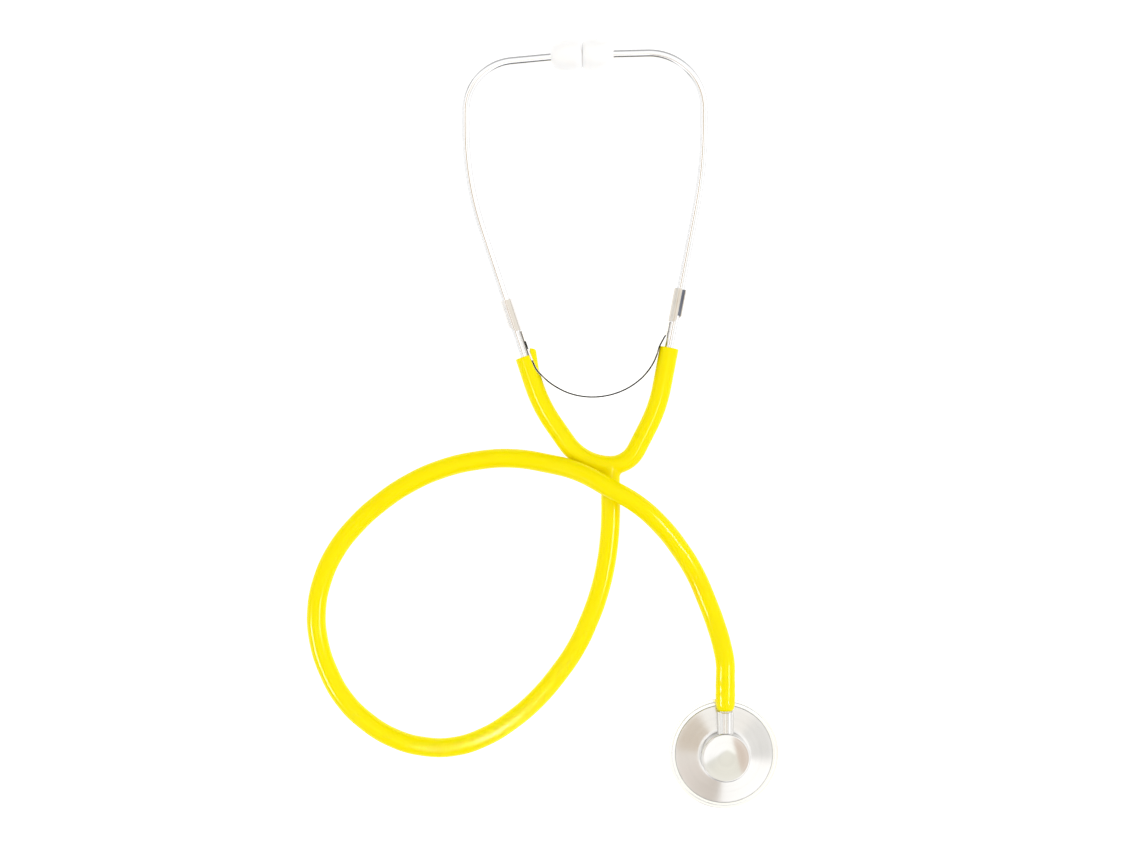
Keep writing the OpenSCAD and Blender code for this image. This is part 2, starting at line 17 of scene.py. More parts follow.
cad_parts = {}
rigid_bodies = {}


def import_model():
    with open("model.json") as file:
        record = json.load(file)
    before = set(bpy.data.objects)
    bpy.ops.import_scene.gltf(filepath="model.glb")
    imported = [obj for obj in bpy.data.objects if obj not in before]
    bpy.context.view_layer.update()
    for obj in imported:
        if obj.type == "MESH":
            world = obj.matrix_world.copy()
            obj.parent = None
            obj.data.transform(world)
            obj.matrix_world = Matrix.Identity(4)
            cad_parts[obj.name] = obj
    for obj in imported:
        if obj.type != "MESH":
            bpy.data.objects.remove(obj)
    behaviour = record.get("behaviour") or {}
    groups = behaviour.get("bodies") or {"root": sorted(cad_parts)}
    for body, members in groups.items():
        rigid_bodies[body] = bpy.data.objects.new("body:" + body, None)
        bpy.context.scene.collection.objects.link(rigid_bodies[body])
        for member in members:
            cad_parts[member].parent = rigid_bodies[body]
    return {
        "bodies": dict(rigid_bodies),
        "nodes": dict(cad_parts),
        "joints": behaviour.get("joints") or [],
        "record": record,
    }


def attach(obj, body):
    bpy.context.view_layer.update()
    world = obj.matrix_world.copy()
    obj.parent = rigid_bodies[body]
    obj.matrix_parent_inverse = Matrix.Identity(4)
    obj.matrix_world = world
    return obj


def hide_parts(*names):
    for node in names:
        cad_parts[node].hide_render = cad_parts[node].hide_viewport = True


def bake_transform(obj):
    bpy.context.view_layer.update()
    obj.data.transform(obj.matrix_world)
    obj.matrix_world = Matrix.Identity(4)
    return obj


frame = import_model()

LOG = logging.getLogger("stethoscope")
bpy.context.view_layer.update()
UP = Vector((0.0, 0.0, 1.0))
# Way that the yoke's stem and the chest piece's stem point
TO_CHEST_PIECE = Vector((0.0, -1.0, 0.0))
# Distance below which two points are one
MERGE = 1e-7
# Short step that shows a direction
AHEAD = 0.001
# Longest edge along a bent skin
EDGE_STEP = 0.0008

Point2 = tuple[float, float]
Profile = Sequence[Point2]


class Side(Enum):
    """Side of the object, as seen from above with the ear tips at the top."""

    LEFT = -1
    RIGHT = 1


@dataclass(frozen=True)
class Frame2:
    """Place and heading in the yoke's plane, measured from the crotch."""

    x: float
    y: float
    heading: float

    def walked(self, straight: float, radius: float = 0.0, turn: float = 0.0) -> "Frame2":
        """Frame after a straight and a bend.

        Args:
            straight: length of the straight.
            radius: radius of the bend.
            turn: turn of the bend in degrees, positive to the left.

        Returns:
            The frame at the end of the bend.
        """
        here = math.radians(self.heading)
        there = math.radians(self.heading + turn)
        reach = math.copysign(radius, turn) if turn else 0.0
        return Frame2(
            self.x + straight * math.cos(here) - reach * (math.sin(here) - math.sin(there)),
            self.y + straight * math.sin(here) + reach * (math.cos(here) - math.cos(there)),
            self.heading + turn,
        )

    def beside(self, along: float, inward: float) -> "Frame2":
        """Frame beside this one, along its heading and then towards the object's middle line.

        Args:
            along: distance along the heading.
            inward: distance towards the middle line.

        Returns:
            The frame, with the same heading.
        """
        here = math.radians(self.heading)
        side = -1.0 if self.x < 0 else 1.0
        return Frame2(
            self.x + along * math.cos(here) - side * inward * math.sin(here),
            self.y + along * math.sin(here) + side * inward * math.cos(here),
            self.heading,
        )


@dataclass(frozen=True)
class Step:
    """One straight and one bend of a pipe."""

    straight: float
    radius: float = 0.0
    turn: float = 0.0


@dataclass(frozen=True)
class YokePlane:
    """Tilted plane that the yoke, the spring and the ear tubes lie in."""

    crotch: tuple[float, float, float] = (-0.005, -0.01695, 0.004)
    tilt: float = 0.935297

    @property
    def up(self) -> Vector:
        """Upward normal of the plane."""
        a = math.radians(self.tilt)
        return Vector((0.0, -math.sin(a), math.cos(a)))

    def place(self, x: float, y: float) -> Vector:
        """Point of the row frame for a point of the plane.

        Args:
            x: distance to the right of the crotch.
            y: distance up the plane from the crotch.

        Returns:
            The point in the row frame.
        """
        a = math.radians(self.tilt)
        return Vector(self.crotch) + Vector((x, y * math.cos(a), y * math.sin(a)))

    def spot(self, frame: Frame2) -> Vector:
        """Point of the row frame for a frame of the plane."""
        return self.place(frame.x, frame.y)


PLANE = YokePlane()


class Path:
    """Line through points, measured by its length, with a steady sense of up."""

    def __init__(self, points: Sequence[Vector], up: Vector) -> None:
        """Keeps the points and their distances from the start.

        Args:
            points: points of the line, in order.
            up: direction that stays up all along the line.
        """
        self.points = [p for i, p in enumerate(points) if i == 0 or (p - points[i - 1]).length > MERGE]
        self.up = up.normalized()
        self.marks = [0.0]
        for a, b in zip(self.points, self.points[1:]):
            self.marks.append(self.marks[-1] + (b - a).length)

    @property
    def length(self) -> float:
        """Length of the line."""
        return self.marks[-1]

    def tangent_at_point(self, i: int) -> Vector:
        """Direction of the line at one of its points.

        Args:
            i: number of the point.

        Returns:
            The unit vector.
        """
        a = self.points[max(i - 1, 0)]
        b = self.points[min(i + 1, len(self.points) - 1)]
        return (b - a).normalized()

    def frame_at(self, s: float) -> tuple[Vector, Vector, Vector, Vector]:
        """Place, side, up and tangent at a distance from the start.

        Args:
            s: distance from the start; past the ends the line goes straight on.

        Returns:
            The point and three unit vectors.
        """
        i = 0
        while i < len(self.marks) - 2 and self.marks[i + 1] < s:
            i += 1
        span = self.marks[i + 1] - self.marks[i]
        u = (s - self.marks[i]) / span
        a, b = self.points[i], self.points[i + 1]
        clamped = min(max(u, 0.0), 1.0)
        tangent = self.tangent_at_point(i).lerp(self.tangent_at_point(i + 1), clamped).normalized()
        at = a.lerp(b, clamped)
        if u < 0.0 or u > 1.0:
            at = at + tangent * (u - clamped) * span
        side = self.up.cross(tangent).normalized()
        return at, side, tangent.cross(side), tangent

    def cut(self, start: float, end: float, spacing: float) -> "Path":
        """The part of the line between two distances.

        Args:
            start: distance of the new start.
            end: distance of the new end.
            spacing: distance between the new points.

        Returns:
            The new line.
        """
        n = max(2, math.ceil((end - start) / spacing))
        return Path([self.frame_at(start + (end - start) * i / n)[0] for i in range(n + 1)], self.up)


def plane_path(start: Frame2, steps: Sequence[Step]) -> Path:
    """Line of a bent pipe in the yoke's plane.

    Args:
        start: frame at the pipe's start.
        steps: straights and bends.

    Returns:
        The line in the row frame.
    """
    here = start
    points = [PLANE.spot(here)]
    for step in steps:
        n = max(1, math.ceil(step.straight / EDGE_STEP))
        points += [PLANE.spot(here.walked(step.straight * i / n)) for i in range(1, n + 1)]
        bend = abs(math.radians(step.turn)) * step.radius
        m = max(1, math.ceil(bend / EDGE_STEP)) if step.turn else 0
        for i in range(1, m + 1):
            points.append(PLANE.spot(here.walked(step.straight, step.radius, step.turn * i / m)))
        here = here.walked(step.straight, step.radius, step.turn)
    return Path(points, PLANE.up)


def clear_selection() -> None:
    """Leaves edit mode and deselects everything."""
    if bpy.context.object is not None and bpy.context.object.mode != "OBJECT":
        bpy.ops.object.mode_set(mode="OBJECT")
    bpy.ops.object.select_all(action="DESELECT")


def only(obj: bpy.types.Object) -> bpy.types.Object:
    """Selects one object alone and makes it active.

    Args:
        obj: the object.

    Returns:
        The same object.
    """
    clear_selection()
    obj.select_set(True)
    bpy.context.view_layer.objects.active = obj
    return obj


def rename(obj: bpy.types.Object, name: str) -> bpy.types.Object:
    """Names an object and its data.

    Args:
        obj: the object.
        name: its new name.

    Returns:
        The same object.
    """
    obj.name = name
    obj.data.name = name
    return obj


def settle(obj: bpy.types.Object) -> bpy.types.Object:
    """Moves an object's place, turn and size into its mesh.

    Args:
        obj: the object.

    Returns:
        The same object.
    """
    only(obj)
    bpy.ops.object.transform_apply(location=True, rotation=True, scale=True)
    return obj


def face_outwards(obj: bpy.types.Object) -> None:
    """Merges doubles and turns every face outwards.

    Args:
        obj: the mesh.
    """
    only(obj)
    bpy.ops.object.mode_set(mode="EDIT")
    bpy.ops.mesh.select_all(action="SELECT")
    bpy.ops.mesh.remove_doubles(threshold=MERGE)
    bpy.ops.mesh.normals_make_consistent(inside=False)
    bpy.ops.object.mode_set(mode="OBJECT")


def apply_modifiers(obj: bpy.types.Object) -> None:
    """Applies every modifier of an object in order.

    Args:
        obj: the mesh.
    """
    only(obj)
    for name in [m.name for m in obj.modifiers]:
        bpy.ops.object.modifier_apply(modifier=name)


def shade(obj: bpy.types.Object, angle: float = 32.0) -> bpy.types.Object:
    """Shades an object smooth, with sharp edges above an angle in degrees.

    Args:
        obj: the mesh.
        angle: the angle.

    Returns:
        The same object.
    """
    only(obj)
    bpy.ops.object.shade_smooth_by_angle(angle=math.radians(angle))
    return obj


def dense(profile: Profile, step: float) -> list[Point2]:
    """Profile with extra points, so that no edge is longer than a step.

    Args:
        profile: points as radius and height.
        step: longest edge.

    Returns:
        The denser profile.
    """
    out = [profile[0]]
    for (r0, z0), (r1, z1) in zip(profile, profile[1:]):
        n = max(1, math.ceil(math.hypot(r1 - r0, z1 - z0) / step))
        out += [(r0 + (r1 - r0) * i / n, z0 + (z1 - z0) * i / n) for i in range(1, n + 1)]
    return out


def arc(cx: float, cz: float, r: float, start: float, end: float, n: int) -> list[Point2]:
    """Points of a circular arc in a profile.

    Args:
        cx: centre's radius from the axis.
        cz: centre's height.
        r: radius of the arc.
        start: first angle in degrees, from outwards towards up.
        end: last angle in degrees.
        n: number of edges.

    Returns:
        Points as radius and height.
    """
    turns = [math.radians(start + (end - start) * i / n) for i in range(n + 1)]
    return [(cx + r * math.cos(a), cz + r * math.sin(a)) for a in turns]


def quarter(n: int) -> list[float]:
    """Angles of a quarter turn in n equal steps, in radians."""
    return [math.radians(90.0 * i / n) for i in range(n + 1)]


def drawn_line(name: str, points: Sequence[Sequence[float]]) -> bpy.types.Object:
    """Chain of edges, drawn by extruding one vertex from point to point.

    Args:
        name: name of the new object.
        points: points of the chain.

    Returns:
        The object, in object mode.
    """
    clear_selection()
    bpy.ops.mesh.primitive_plane_add(size=0.001, location=tuple(points[0]))
    obj = rename(bpy.context.object, name)
    settle(obj)
    bpy.ops.object.mode_set(mode="EDIT")
    bpy.ops.mesh.select_all(action="SELECT")
    bpy.ops.mesh.merge(type="CENTER")
    for a, b in zip(points, points[1:]):
        bpy.ops.mesh.extrude_region_move(
            TRANSFORM_OT_translate={"value": tuple(q - p for p, q in zip(a, b))}
        )
    bpy.ops.object.mode_set(mode="OBJECT")
    return obj


def turned(name: str, profile: Profile, steps: int, angle: float = 360.0) -> bpy.types.Object:
    """Piece turned about the Z axis from its profile.

    Args:
        name: name of the new object.
        profile: points as radius and height; a closed one ends where it starts.
        steps: number of sides for a whole turn.
        angle: how far it is turned, in degrees.

    Returns:
        The object.
    """
    obj = drawn_line(name, [(r, 0.0, z) for r, z in profile])
    only(obj)
    bpy.ops.object.mode_set(mode="EDIT")
    bpy.ops.mesh.select_all(action="SELECT")
    bpy.ops.mesh.spin(
        steps=max(3, round(steps * angle / 360.0)),
        angle=math.radians(angle),
        center=(0.0, 0.0, 0.0),
        axis=(0.0, 0.0, 1.0),
    )
    bpy.ops.object.mode_set(mode="OBJECT")
    face_outwards(obj)
    return obj


def lay_along(obj: bpy.types.Object, path: Path) -> bpy.types.Object:
    """Bends a piece that stands along Z so that it follows a path.

    Args:
        obj: piece whose Z is the distance along the path.
        path: line that the piece's Z axis takes.

    Returns:
        The same object.
    """
    cache: dict[float, tuple[Vector, Vector, Vector, Vector]] = {}
    for v in obj.data.vertices:
        key = round(v.co.z, 8)
        if key not in cache:
            cache[key] = path.frame_at(v.co.z)
        at, side, up, _ = cache[key]
        v.co = at + side * v.co.x + up * v.co.y
    obj.data.update()
    return obj


def stood(obj: bpy.types.Object, at: Vector, axis: Vector) -> bpy.types.Object:
    """Moves a piece made about the Z axis to a place and direction.

    Args:
        obj: the piece.
        at: where its origin goes.
        axis: where its Z axis points.

    Returns:
        The same object, settled.
    """
    swing = UP.rotation_difference(axis.normalized()).to_matrix().to_4x4()
    obj.matrix_world = Matrix.Translation(at) @ swing
    return settle(obj)


def thickened(obj: bpy.types.Object, thickness: float) -> None:
    """Gives a bare surface a thickness, half of it to each side.

    Args:
        obj: the surface.
        thickness: its whole thickness.
    """
    m = obj.modifiers.new("sheet", "SOLIDIFY")
    m.thickness = thickness
    m.offset = 0.0
    apply_modifiers(obj)
    face_outwards(obj)


def bevelled(obj: bpy.types.Object, width: float) -> None:
    """Rounds an object's sharp edges with an applied bevel.

    Args:
        obj: the mesh.
        width: width of the bevel.
    """
    m = obj.modifiers.new("edge", "BEVEL")
    m.width = width
    m.segments = 2
    m.limit_method = "ANGLE"
    m.angle_limit = math.radians(40.0)
    m.use_clamp_overlap = True
    apply_modifiers(obj)


def cut_by_plane(obj: bpy.types.Object, at: Vector, normal: Vector) -> None:
    """Removes what lies beyond a plane and closes the cut.

    Args:
        obj: the mesh to cut.
        at: a point of the plane.
        normal: the side that goes.
    """
    only(obj)
    bpy.ops.object.mode_set(mode="EDIT")
    bpy.ops.mesh.select_all(action="SELECT")
    bpy.ops.mesh.bisect(
        plane_co=tuple(at), plane_no=tuple(normal), use_fill=True, clear_outer=True, threshold=MERGE
    )
    bpy.ops.object.mode_set(mode="OBJECT")


# Finishes

Colour = tuple[float, float, float]
Stop = tuple[float, Colour]

BLACK: Colour = (0.0, 0.0, 0.0)
WHITE: Colour = (1.0, 1.0, 1.0)


def socket(node: bpy.types.Node, name: str, value: object) -> None:
    """Sets a shader's own socket."""
    node.inputs[name].default_value = value


class NodeTools:
    """Adds and joins the nodes of one material or one world."""

    def __init__(self, tree: bpy.types.NodeTree) -> None:
        """Keeps the tree that every node goes into."""
        self.tree = tree

    def add(self, kind: str, **settings: object) -> bpy.types.Node:
        """Adds a node and sets its properties.

        Args:
            kind: type name of the node.
            settings: properties by name.

        Returns:
            The new node.
        """
        node = self.tree.nodes.new(kind)
        for key, value in settings.items():
            setattr(node, key, value)
        return node

    def link(self, source: bpy.types.NodeSocket, target: bpy.types.NodeSocket) -> None:
        """Joins two sockets."""
        self.tree.links.new(source, target)

    def feed(self, slot: bpy.types.NodeSocket, value: object) -> None:
        """Gives one input of a node its value.

        Args:
            slot: the input.
            value: socket that is joined to it, or its number or colour.
        """
        if isinstance(value, bpy.types.NodeSocket):
            self.link(value, slot)
        elif isinstance(value, tuple):
            slot.default_value = (*value, 1.0)
        else:
            slot.default_value = value

    def ramp(self, factor: bpy.types.NodeSocket, stops: Sequence[Stop]) -> bpy.types.NodeSocket:
        """Colour ramp.

        Args:
            factor: value that runs along the ramp.
            stops: positions with their colours.

        Returns:
            The colour socket.
        """
        node = self.add("ShaderNodeValToRGB")
        band = node.color_ramp.elements
        while len(band) < len(stops):
            band.new(0.5)
        for element, (position, colour) in zip(band, stops):
            element.position = position
            element.color = (*colour, 1.0)
        self.link(factor, node.inputs["Fac"])
        return node.outputs["Color"]

    def math(self, operation: str, *values: object) -> bpy.types.NodeSocket:
        """Math node on sockets or numbers.

        Args:
            operation: name of the operation.
            values: sockets or numbers, in order.

        Returns:
            The value socket.
        """
        node = self.add("ShaderNodeMath", operation=operation)
        for slot, value in zip(node.inputs, values):
            self.feed(slot, value)
        return node.outputs["Value"]

    def mixed(self, blend: str, share: object, first: object, second: object) -> bpy.types.NodeSocket:
        """Mixes two colours, each a socket or a colour.

        Args:
            blend: way in which they are mixed.
            share: socket or number.
            first: colour at zero.
            second: colour at one.

        Returns:
            The colour socket.
        """
        node = self.add("ShaderNodeMix", data_type="RGBA", blend_type=blend)
        for slot, value in ((node.inputs[0], share), (node.inputs[6], first), (node.inputs[7], second)):
            self.feed(slot, value)
        return node.outputs[2]


class NodeSheet(NodeTools):
    """Nodes of one material, round its shader."""

    def __init__(self, name: str) -> None:
        """Starts a material with its shader.

        Args:
            name: name of the material.
        """
        self.material = bpy.data.materials.new(name)
        self.material.use_nodes = True
        super().__init__(self.material.node_tree)
        self.shader = self.tree.nodes["Principled BSDF"]

    def object_coords(self, location: tuple[float, float, float] = (0.0, 0.0, 0.0)) -> bpy.types.NodeSocket:
        """Object coordinates, moved by a distance.

        Args:
            location: the distance.

        Returns:
            The vector socket.
        """
        coords = self.add("ShaderNodeTexCoord")
        mapping = self.add("ShaderNodeMapping")
        socket(mapping, "Location", location)
        self.link(coords.outputs["Object"], mapping.inputs["Vector"])
        return mapping.outputs["Vector"]

    def noise(self, vector: bpy.types.NodeSocket, scale: float, detail: float,
              roughness: float) -> bpy.types.NodeSocket:
        """Noise texture.

        Args:
            vector: coordinates.
            scale: noise scale per metre.
            detail: octaves.
            roughness: strength of the finer octaves.

        Returns:
            The factor socket.
        """
        node = self.add("ShaderNodeTexNoise")
        socket(node, "Scale", scale)
        socket(node, "Detail", detail)
        socket(node, "Roughness", roughness)
        self.link(vector, node.inputs["Vector"])
        return node.outputs["Fac"]

    def tint(self, factor: bpy.types.NodeSocket, stops: Sequence[Stop]) -> None:
        """Feeds a colour ramp into the shader's colour."""
        self.link(self.ramp(factor, stops), self.shader.inputs["Base Color"])

    def rub(self, factor: bpy.types.NodeSocket, low: float, high: float) -> None:
        """Lets the shader's roughness go from one value to another."""
        self.link(self.spread(factor, low, high), self.shader.inputs["Roughness"])

    def scatter(self, weight: float, radius: Colour, scale: float) -> None:
        """Lets light go a little way under the surface.

        Args:
            weight: how much of the light does.
            radius: share of the way for each colour.
            scale: the way in metres.
        """
        socket(self.shader, "Subsurface Weight", weight)
        socket(self.shader, "Subsurface Radius", radius)
        socket(self.shader, "Subsurface Scale", scale)

    def spread(self, factor: bpy.types.NodeSocket, low: float, high: float) -> bpy.types.NodeSocket:
        """Maps a factor onto a range.

        Args:
            factor: value from zero to one.
            low: result at zero.
            high: result at one.

        Returns:
            The result socket.
        """
        node = self.add("ShaderNodeMapRange")
        socket(node, "To Min", low)
        socket(node, "To Max", high)
        self.link(factor, node.inputs["Value"])
        return node.outputs["Result"]

    def limits(self, value: bpy.types.NodeSocket, low: float, high: float) -> bpy.types.NodeSocket:
        """Share that goes from zero to one between two values.

        Args:
            value: socket that is measured.
            low: value at which the share is zero.
            high: value at which it is one.

        Returns:
            The share's socket.
        """
        node = self.add("ShaderNodeMapRange")
        socket(node, "From Min", low)
        socket(node, "From Max", high)
        self.link(value, node.inputs["Value"])
        return node.outputs["Result"]

    def choice(self, share: bpy.types.NodeSocket, none: object, full: object) -> bpy.types.NodeSocket:
        """Value that goes from one to another with a share.

        Args:
            share: socket from zero to one.
            none: socket or number at zero.
            full: socket or number at one.

        Returns:
            The value socket.
        """
        node = self.add("ShaderNodeMix", data_type="FLOAT")
        for slot, value in ((node.inputs[0], share), (node.inputs[2], none), (node.inputs[3], full)):
            self.feed(slot, value)
        return node.outputs[0]

    def bump(self, height: bpy.types.NodeSocket, depth: float, strength: float) -> None:
        """Feeds a height into the shader's normal.

        Args:
            height: height from zero to one.
            depth: depth in metres of the whole height.
            strength: how much of it is used.
        """
        node = self.add("ShaderNodeBump")
        socket(node, "Distance", depth)
        socket(node, "Strength", strength)
        self.link(height, node.inputs["Height"])
        self.link(node.outputs["Normal"], self.shader.inputs["Normal"])


@dataclass(frozen=True)
class SoftPvc:
    """Glossy bright PVC of the hose and the yoke, a little see-through at its edges."""

    name: str = "glossy_yellow_pvc"
    light: Colour = (0.86, 0.74, 0.0)
    deep: Colour = (0.86, 0.66, 0.0)
    roughness: float = 0.14

    def make(self) -> bpy.types.Material:
        """Builds the material.

        Returns:
            The material.
        """
        sheet = NodeSheet(self.name)
        place = sheet.object_coords()
        cloud = sheet.noise(place, scale=38.0, detail=2.0, roughness=0.5)
        fine = sheet.noise(place, scale=900.0, detail=3.0, roughness=0.55)
        sheet.tint(cloud, [(0.3, self.light), (0.62, self.light), (0.8, self.deep)])
        sheet.rub(fine, self.roughness - 0.04, self.roughness + 0.06)
        ripple = sheet.noise(place, scale=160.0, detail=3.0, roughness=0.5)
        sheet.bump(ripple, depth=0.00006, strength=0.6)
        sheet.scatter(weight=0.25, radius=(1.0, 0.7, 0.05), scale=0.002)
        socket(sheet.shader, "IOR", 1.5)
        socket(sheet.shader, "Specular IOR Level", 0.08)
        return sheet.material


@dataclass(frozen=True)
class WhiteTip:
    """Satin white plastic of the ear tips."""

    name: str = "satin_white_tip"
    light: Colour = (0.89, 0.89, 0.89)
    shade: Colour = (0.87, 0.87, 0.875)

    def make(self) -> bpy.types.Material:
        """Builds the material.

        Returns:
            The material.
        """
        sheet = NodeSheet(self.name)
        place = sheet.object_coords()
        cloud = sheet.noise(place, scale=120.0, detail=2.0, roughness=0.5)
        sheet.tint(cloud, [(0.35, self.light), (0.7, self.shade)])
        fine = sheet.noise(place, scale=2600.0, detail=2.0, roughness=0.6)
        sheet.rub(fine, 0.3, 0.42)
        sheet.bump(fine, depth=0.00001, strength=0.6)
        sheet.scatter(weight=0.2, radius=(1.0, 0.9, 0.8), scale=0.0015)
        return sheet.material


@dataclass(frozen=True)
class BrightMetal:
    """Plated or polished metal with faint rubbing marks."""

    name: str
    light: Colour
    shade: Colour
    roughness: float
    grain: float = 700.0
    relief: float = 0.000004
    spread: float = 0.1

    def make(self) -> bpy.types.Material:
        """Builds the material.

        Returns:
            The material.
        """
        sheet = NodeSheet(self.name)
        place = sheet.object_coords()
        cloud = sheet.noise(place, scale=90.0, detail=3.0, roughness=0.55)
        sheet.tint(cloud, [(0.35, self.light), (0.75, self.shade)])
        marks = sheet.noise(place, scale=self.grain, detail=4.0, roughness=0.6)
        sheet.rub(marks, self.roughness, self.roughness + self.spread)
        sheet.bump(marks, depth=self.relief, strength=0.5)
        socket(sheet.shader, "Metallic", 1.0)
        return sheet.material


@dataclass(frozen=True)
class TurnedMetal:
    """Metal with fine grooves from turning, about an upright axis, that draws light into wedges."""

    name: str
    centre: tuple[float, float]
    light: Colour
    shade: Colour
    roughness: float = 0.22
    anisotropy: float = 0.75
    pitch: float = 0.00022
    groove_depth: float = 0.000012
    groove_strength: float = 0.5
    polished_r: float = 0.0
    polish: float = 0.1

    def make(self) -> bpy.types.Material:
        """Builds the material.

        Returns:
            The material.
        """
        sheet = NodeSheet(self.name)
        place = sheet.object_coords(location=(-self.centre[0], -self.centre[1], 0.0))
        flat = sheet.add("ShaderNodeVectorMath", operation="MULTIPLY")
        flat.inputs[1].default_value = (1.0, 1.0, 0.0)
        sheet.link(place, flat.inputs[0])
        length = sheet.add("ShaderNodeVectorMath", operation="LENGTH")
        sheet.link(flat.outputs["Vector"], length.inputs[0])
        radius = length.outputs["Value"]
        unit = sheet.add("ShaderNodeVectorMath", operation="NORMALIZE")
        sheet.link(flat.outputs["Vector"], unit.inputs[0])
        sheet.link(unit.outputs["Vector"], sheet.shader.inputs["Tangent"])
        ring = sheet.add("ShaderNodeCombineXYZ")
        sheet.link(radius, ring.inputs["X"])
        groove = sheet.noise(ring.outputs["Vector"], scale=1.0 / self.pitch, detail=3.0, roughness=0.7)
        broad = sheet.noise(ring.outputs["Vector"], scale=0.12 / self.pitch, detail=2.0, roughness=0.5)
        cloud = sheet.noise(place, scale=60.0, detail=2.0, roughness=0.5)
        tone = sheet.math("MULTIPLY_ADD", broad, 0.5, sheet.math("MULTIPLY", cloud, 0.5))
        sheet.tint(tone, [(0.35, self.light), (0.7, self.shade)])
        brushed = sheet.spread(groove, self.roughness - 0.06, self.roughness + 0.06)
        socket(sheet.shader, "Metallic", 1.0)
        depth, strength = self.groove_depth, self.groove_strength
        if self.polished_r > 0.0:
            outside = sheet.math("GREATER_THAN", radius, self.polished_r)
            rubbed = sheet.spread(cloud, self.polish - 0.02, self.polish + 0.03)
            sheet.link(sheet.choice(outside, rubbed, brushed), sheet.shader.inputs["Roughness"])
            sheet.link(sheet.math("MULTIPLY", outside, self.anisotropy), sheet.shader.inputs["Anisotropic"])
            sheet.bump(sheet.math("MULTIPLY", outside, groove), depth, strength)
        else:
            sheet.link(brushed, sheet.shader.inputs["Roughness"])
            socket(sheet.shader, "Anisotropic", self.anisotropy)
            sheet.bump(groove, depth, strength)
        return sheet.material


@dataclass(frozen=True)
class StripWithPaintedDarkEdges:
    """Spring steel strip with bright rolled faces, with near-black reflection and shade painted on its edges.
    """

    name: str = "sheared_spring_strip"
    face: Colour = (0.9, 0.88, 0.85)
    # Painted light: the edge colour is near-black reflection and shade, broken by paler patches; it shows
    # only below a height on each side and in a painted shadow mark near the left sleeve
    edge: Colour = (0.012, 0.011, 0.011)
    paler_painted_edge: Colour = (0.3, 0.28, 0.24)
    painted_dark_below: tuple[float, float] = (0.027, 0.0375)
    painted_shadow_mark: tuple[float, float] = (0.0318, 0.035)

    def make(self) -> bpy.types.Material:
        """Builds the material.

        Returns:
            The material.
        """
        sheet = NodeSheet(self.name)
        place = sheet.object_coords()
        cloud = sheet.noise(place, scale=160.0, detail=3.0, roughness=0.5)
        dull = tuple(c * 0.9 for c in self.face)
        parts = sheet.add("ShaderNodeSeparateXYZ")
        sheet.link(sheet.add("ShaderNodeNewGeometry").outputs["Normal"], parts.inputs["Vector"])
        where = sheet.add("ShaderNodeSeparateXYZ")
        sheet.link(place, where.inputs["Vector"])
        # Painted dark reflection and shade: edge faces turn near-black below a height on each side and in a
        # shadow mark near the left sleeve
        edges = sheet.limits(sheet.math("ABSOLUTE", parts.outputs["Z"]), 0.3, 0.6)
        left, right = (sheet.math("LESS_THAN", where.outputs["Y"], low) for low in self.painted_dark_below)
        start, end = self.painted_shadow_mark
        mark = sheet.math("COMPARE", where.outputs["Y"], (start + end) / 2, (end - start) / 2)
        left = sheet.math("MAXIMUM", left, mark)
        on_right = sheet.math("GREATER_THAN", where.outputs["X"], 0.0)
        share = sheet.math("MULTIPLY", edges, sheet.choice(on_right, left, right))
        bright = sheet.ramp(cloud, [(0.35, self.face), (0.7, dull)])
        dark = sheet.ramp(cloud, [(0.58, self.edge), (0.7, self.paler_painted_edge)])
        sheet.link(sheet.mixed("MIX", share, bright, dark), sheet.shader.inputs["Base Color"])
        sheet.link(sheet.choice(share, 0.16, 0.5), sheet.shader.inputs["Roughness"])
        socket(sheet.shader, "Metallic", 1.0)
        return sheet.material


@dataclass(frozen=True)
class DiaphragmFilm:
    """Stiff pale sheet of the diaphragm, with a woven look under its skin."""

    name: str = "diaphragm_sheet"
    light: Colour = (0.82, 0.81, 0.76)
    shade: Colour = (0.76, 0.74, 0.68)

    def make(self) -> bpy.types.Material:
        """Builds the material.

        Returns:
            The material.
        """
        sheet = NodeSheet(self.name)
        place = sheet.object_coords()
        cloud = sheet.noise(place, scale=150.0, detail=3.0, roughness=0.5)
        sheet.tint(cloud, [(0.3, self.light), (0.7, self.shade)])
        weave = sheet.add("ShaderNodeTexWave", wave_type="BANDS", bands_direction="X")
        socket(weave, "Scale", 900.0)
        socket(weave, "Distortion", 1.5)
        sheet.link(place, weave.inputs["Vector"])
        sheet.bump(weave.outputs["Fac"], depth=0.00001, strength=0.4)
        socket(sheet.shader, "Roughness", 0.38)
        return sheet.material


@dataclass(frozen=True)
class TableTop:
    """Plain pale floor, like a lit table of white acrylic."""

    name: str = "pale_table"
    colour: Colour = (0.5, 0.5, 0.5)
    glow: float = 0.8

    def make(self) -> bpy.types.Material:
        """Builds the material.

        Returns:
            The material.
        """
        sheet = NodeSheet(self.name)
        cloud = sheet.noise(sheet.object_coords(), scale=3.0, detail=2.0, roughness=0.5)
        paler = tuple(c * 0.99 for c in self.colour)
        sheet.tint(cloud, [(0.3, self.colour), (0.7, paler)])
        socket(sheet.shader, "Roughness", 0.8)
        socket(sheet.shader, "Specular IOR Level", 0.1)
        socket(sheet.shader, "Emission Color", (1.0, 1.0, 1.0, 1.0))
        socket(sheet.shader, "Emission Strength", self.glow)
        return sheet.material


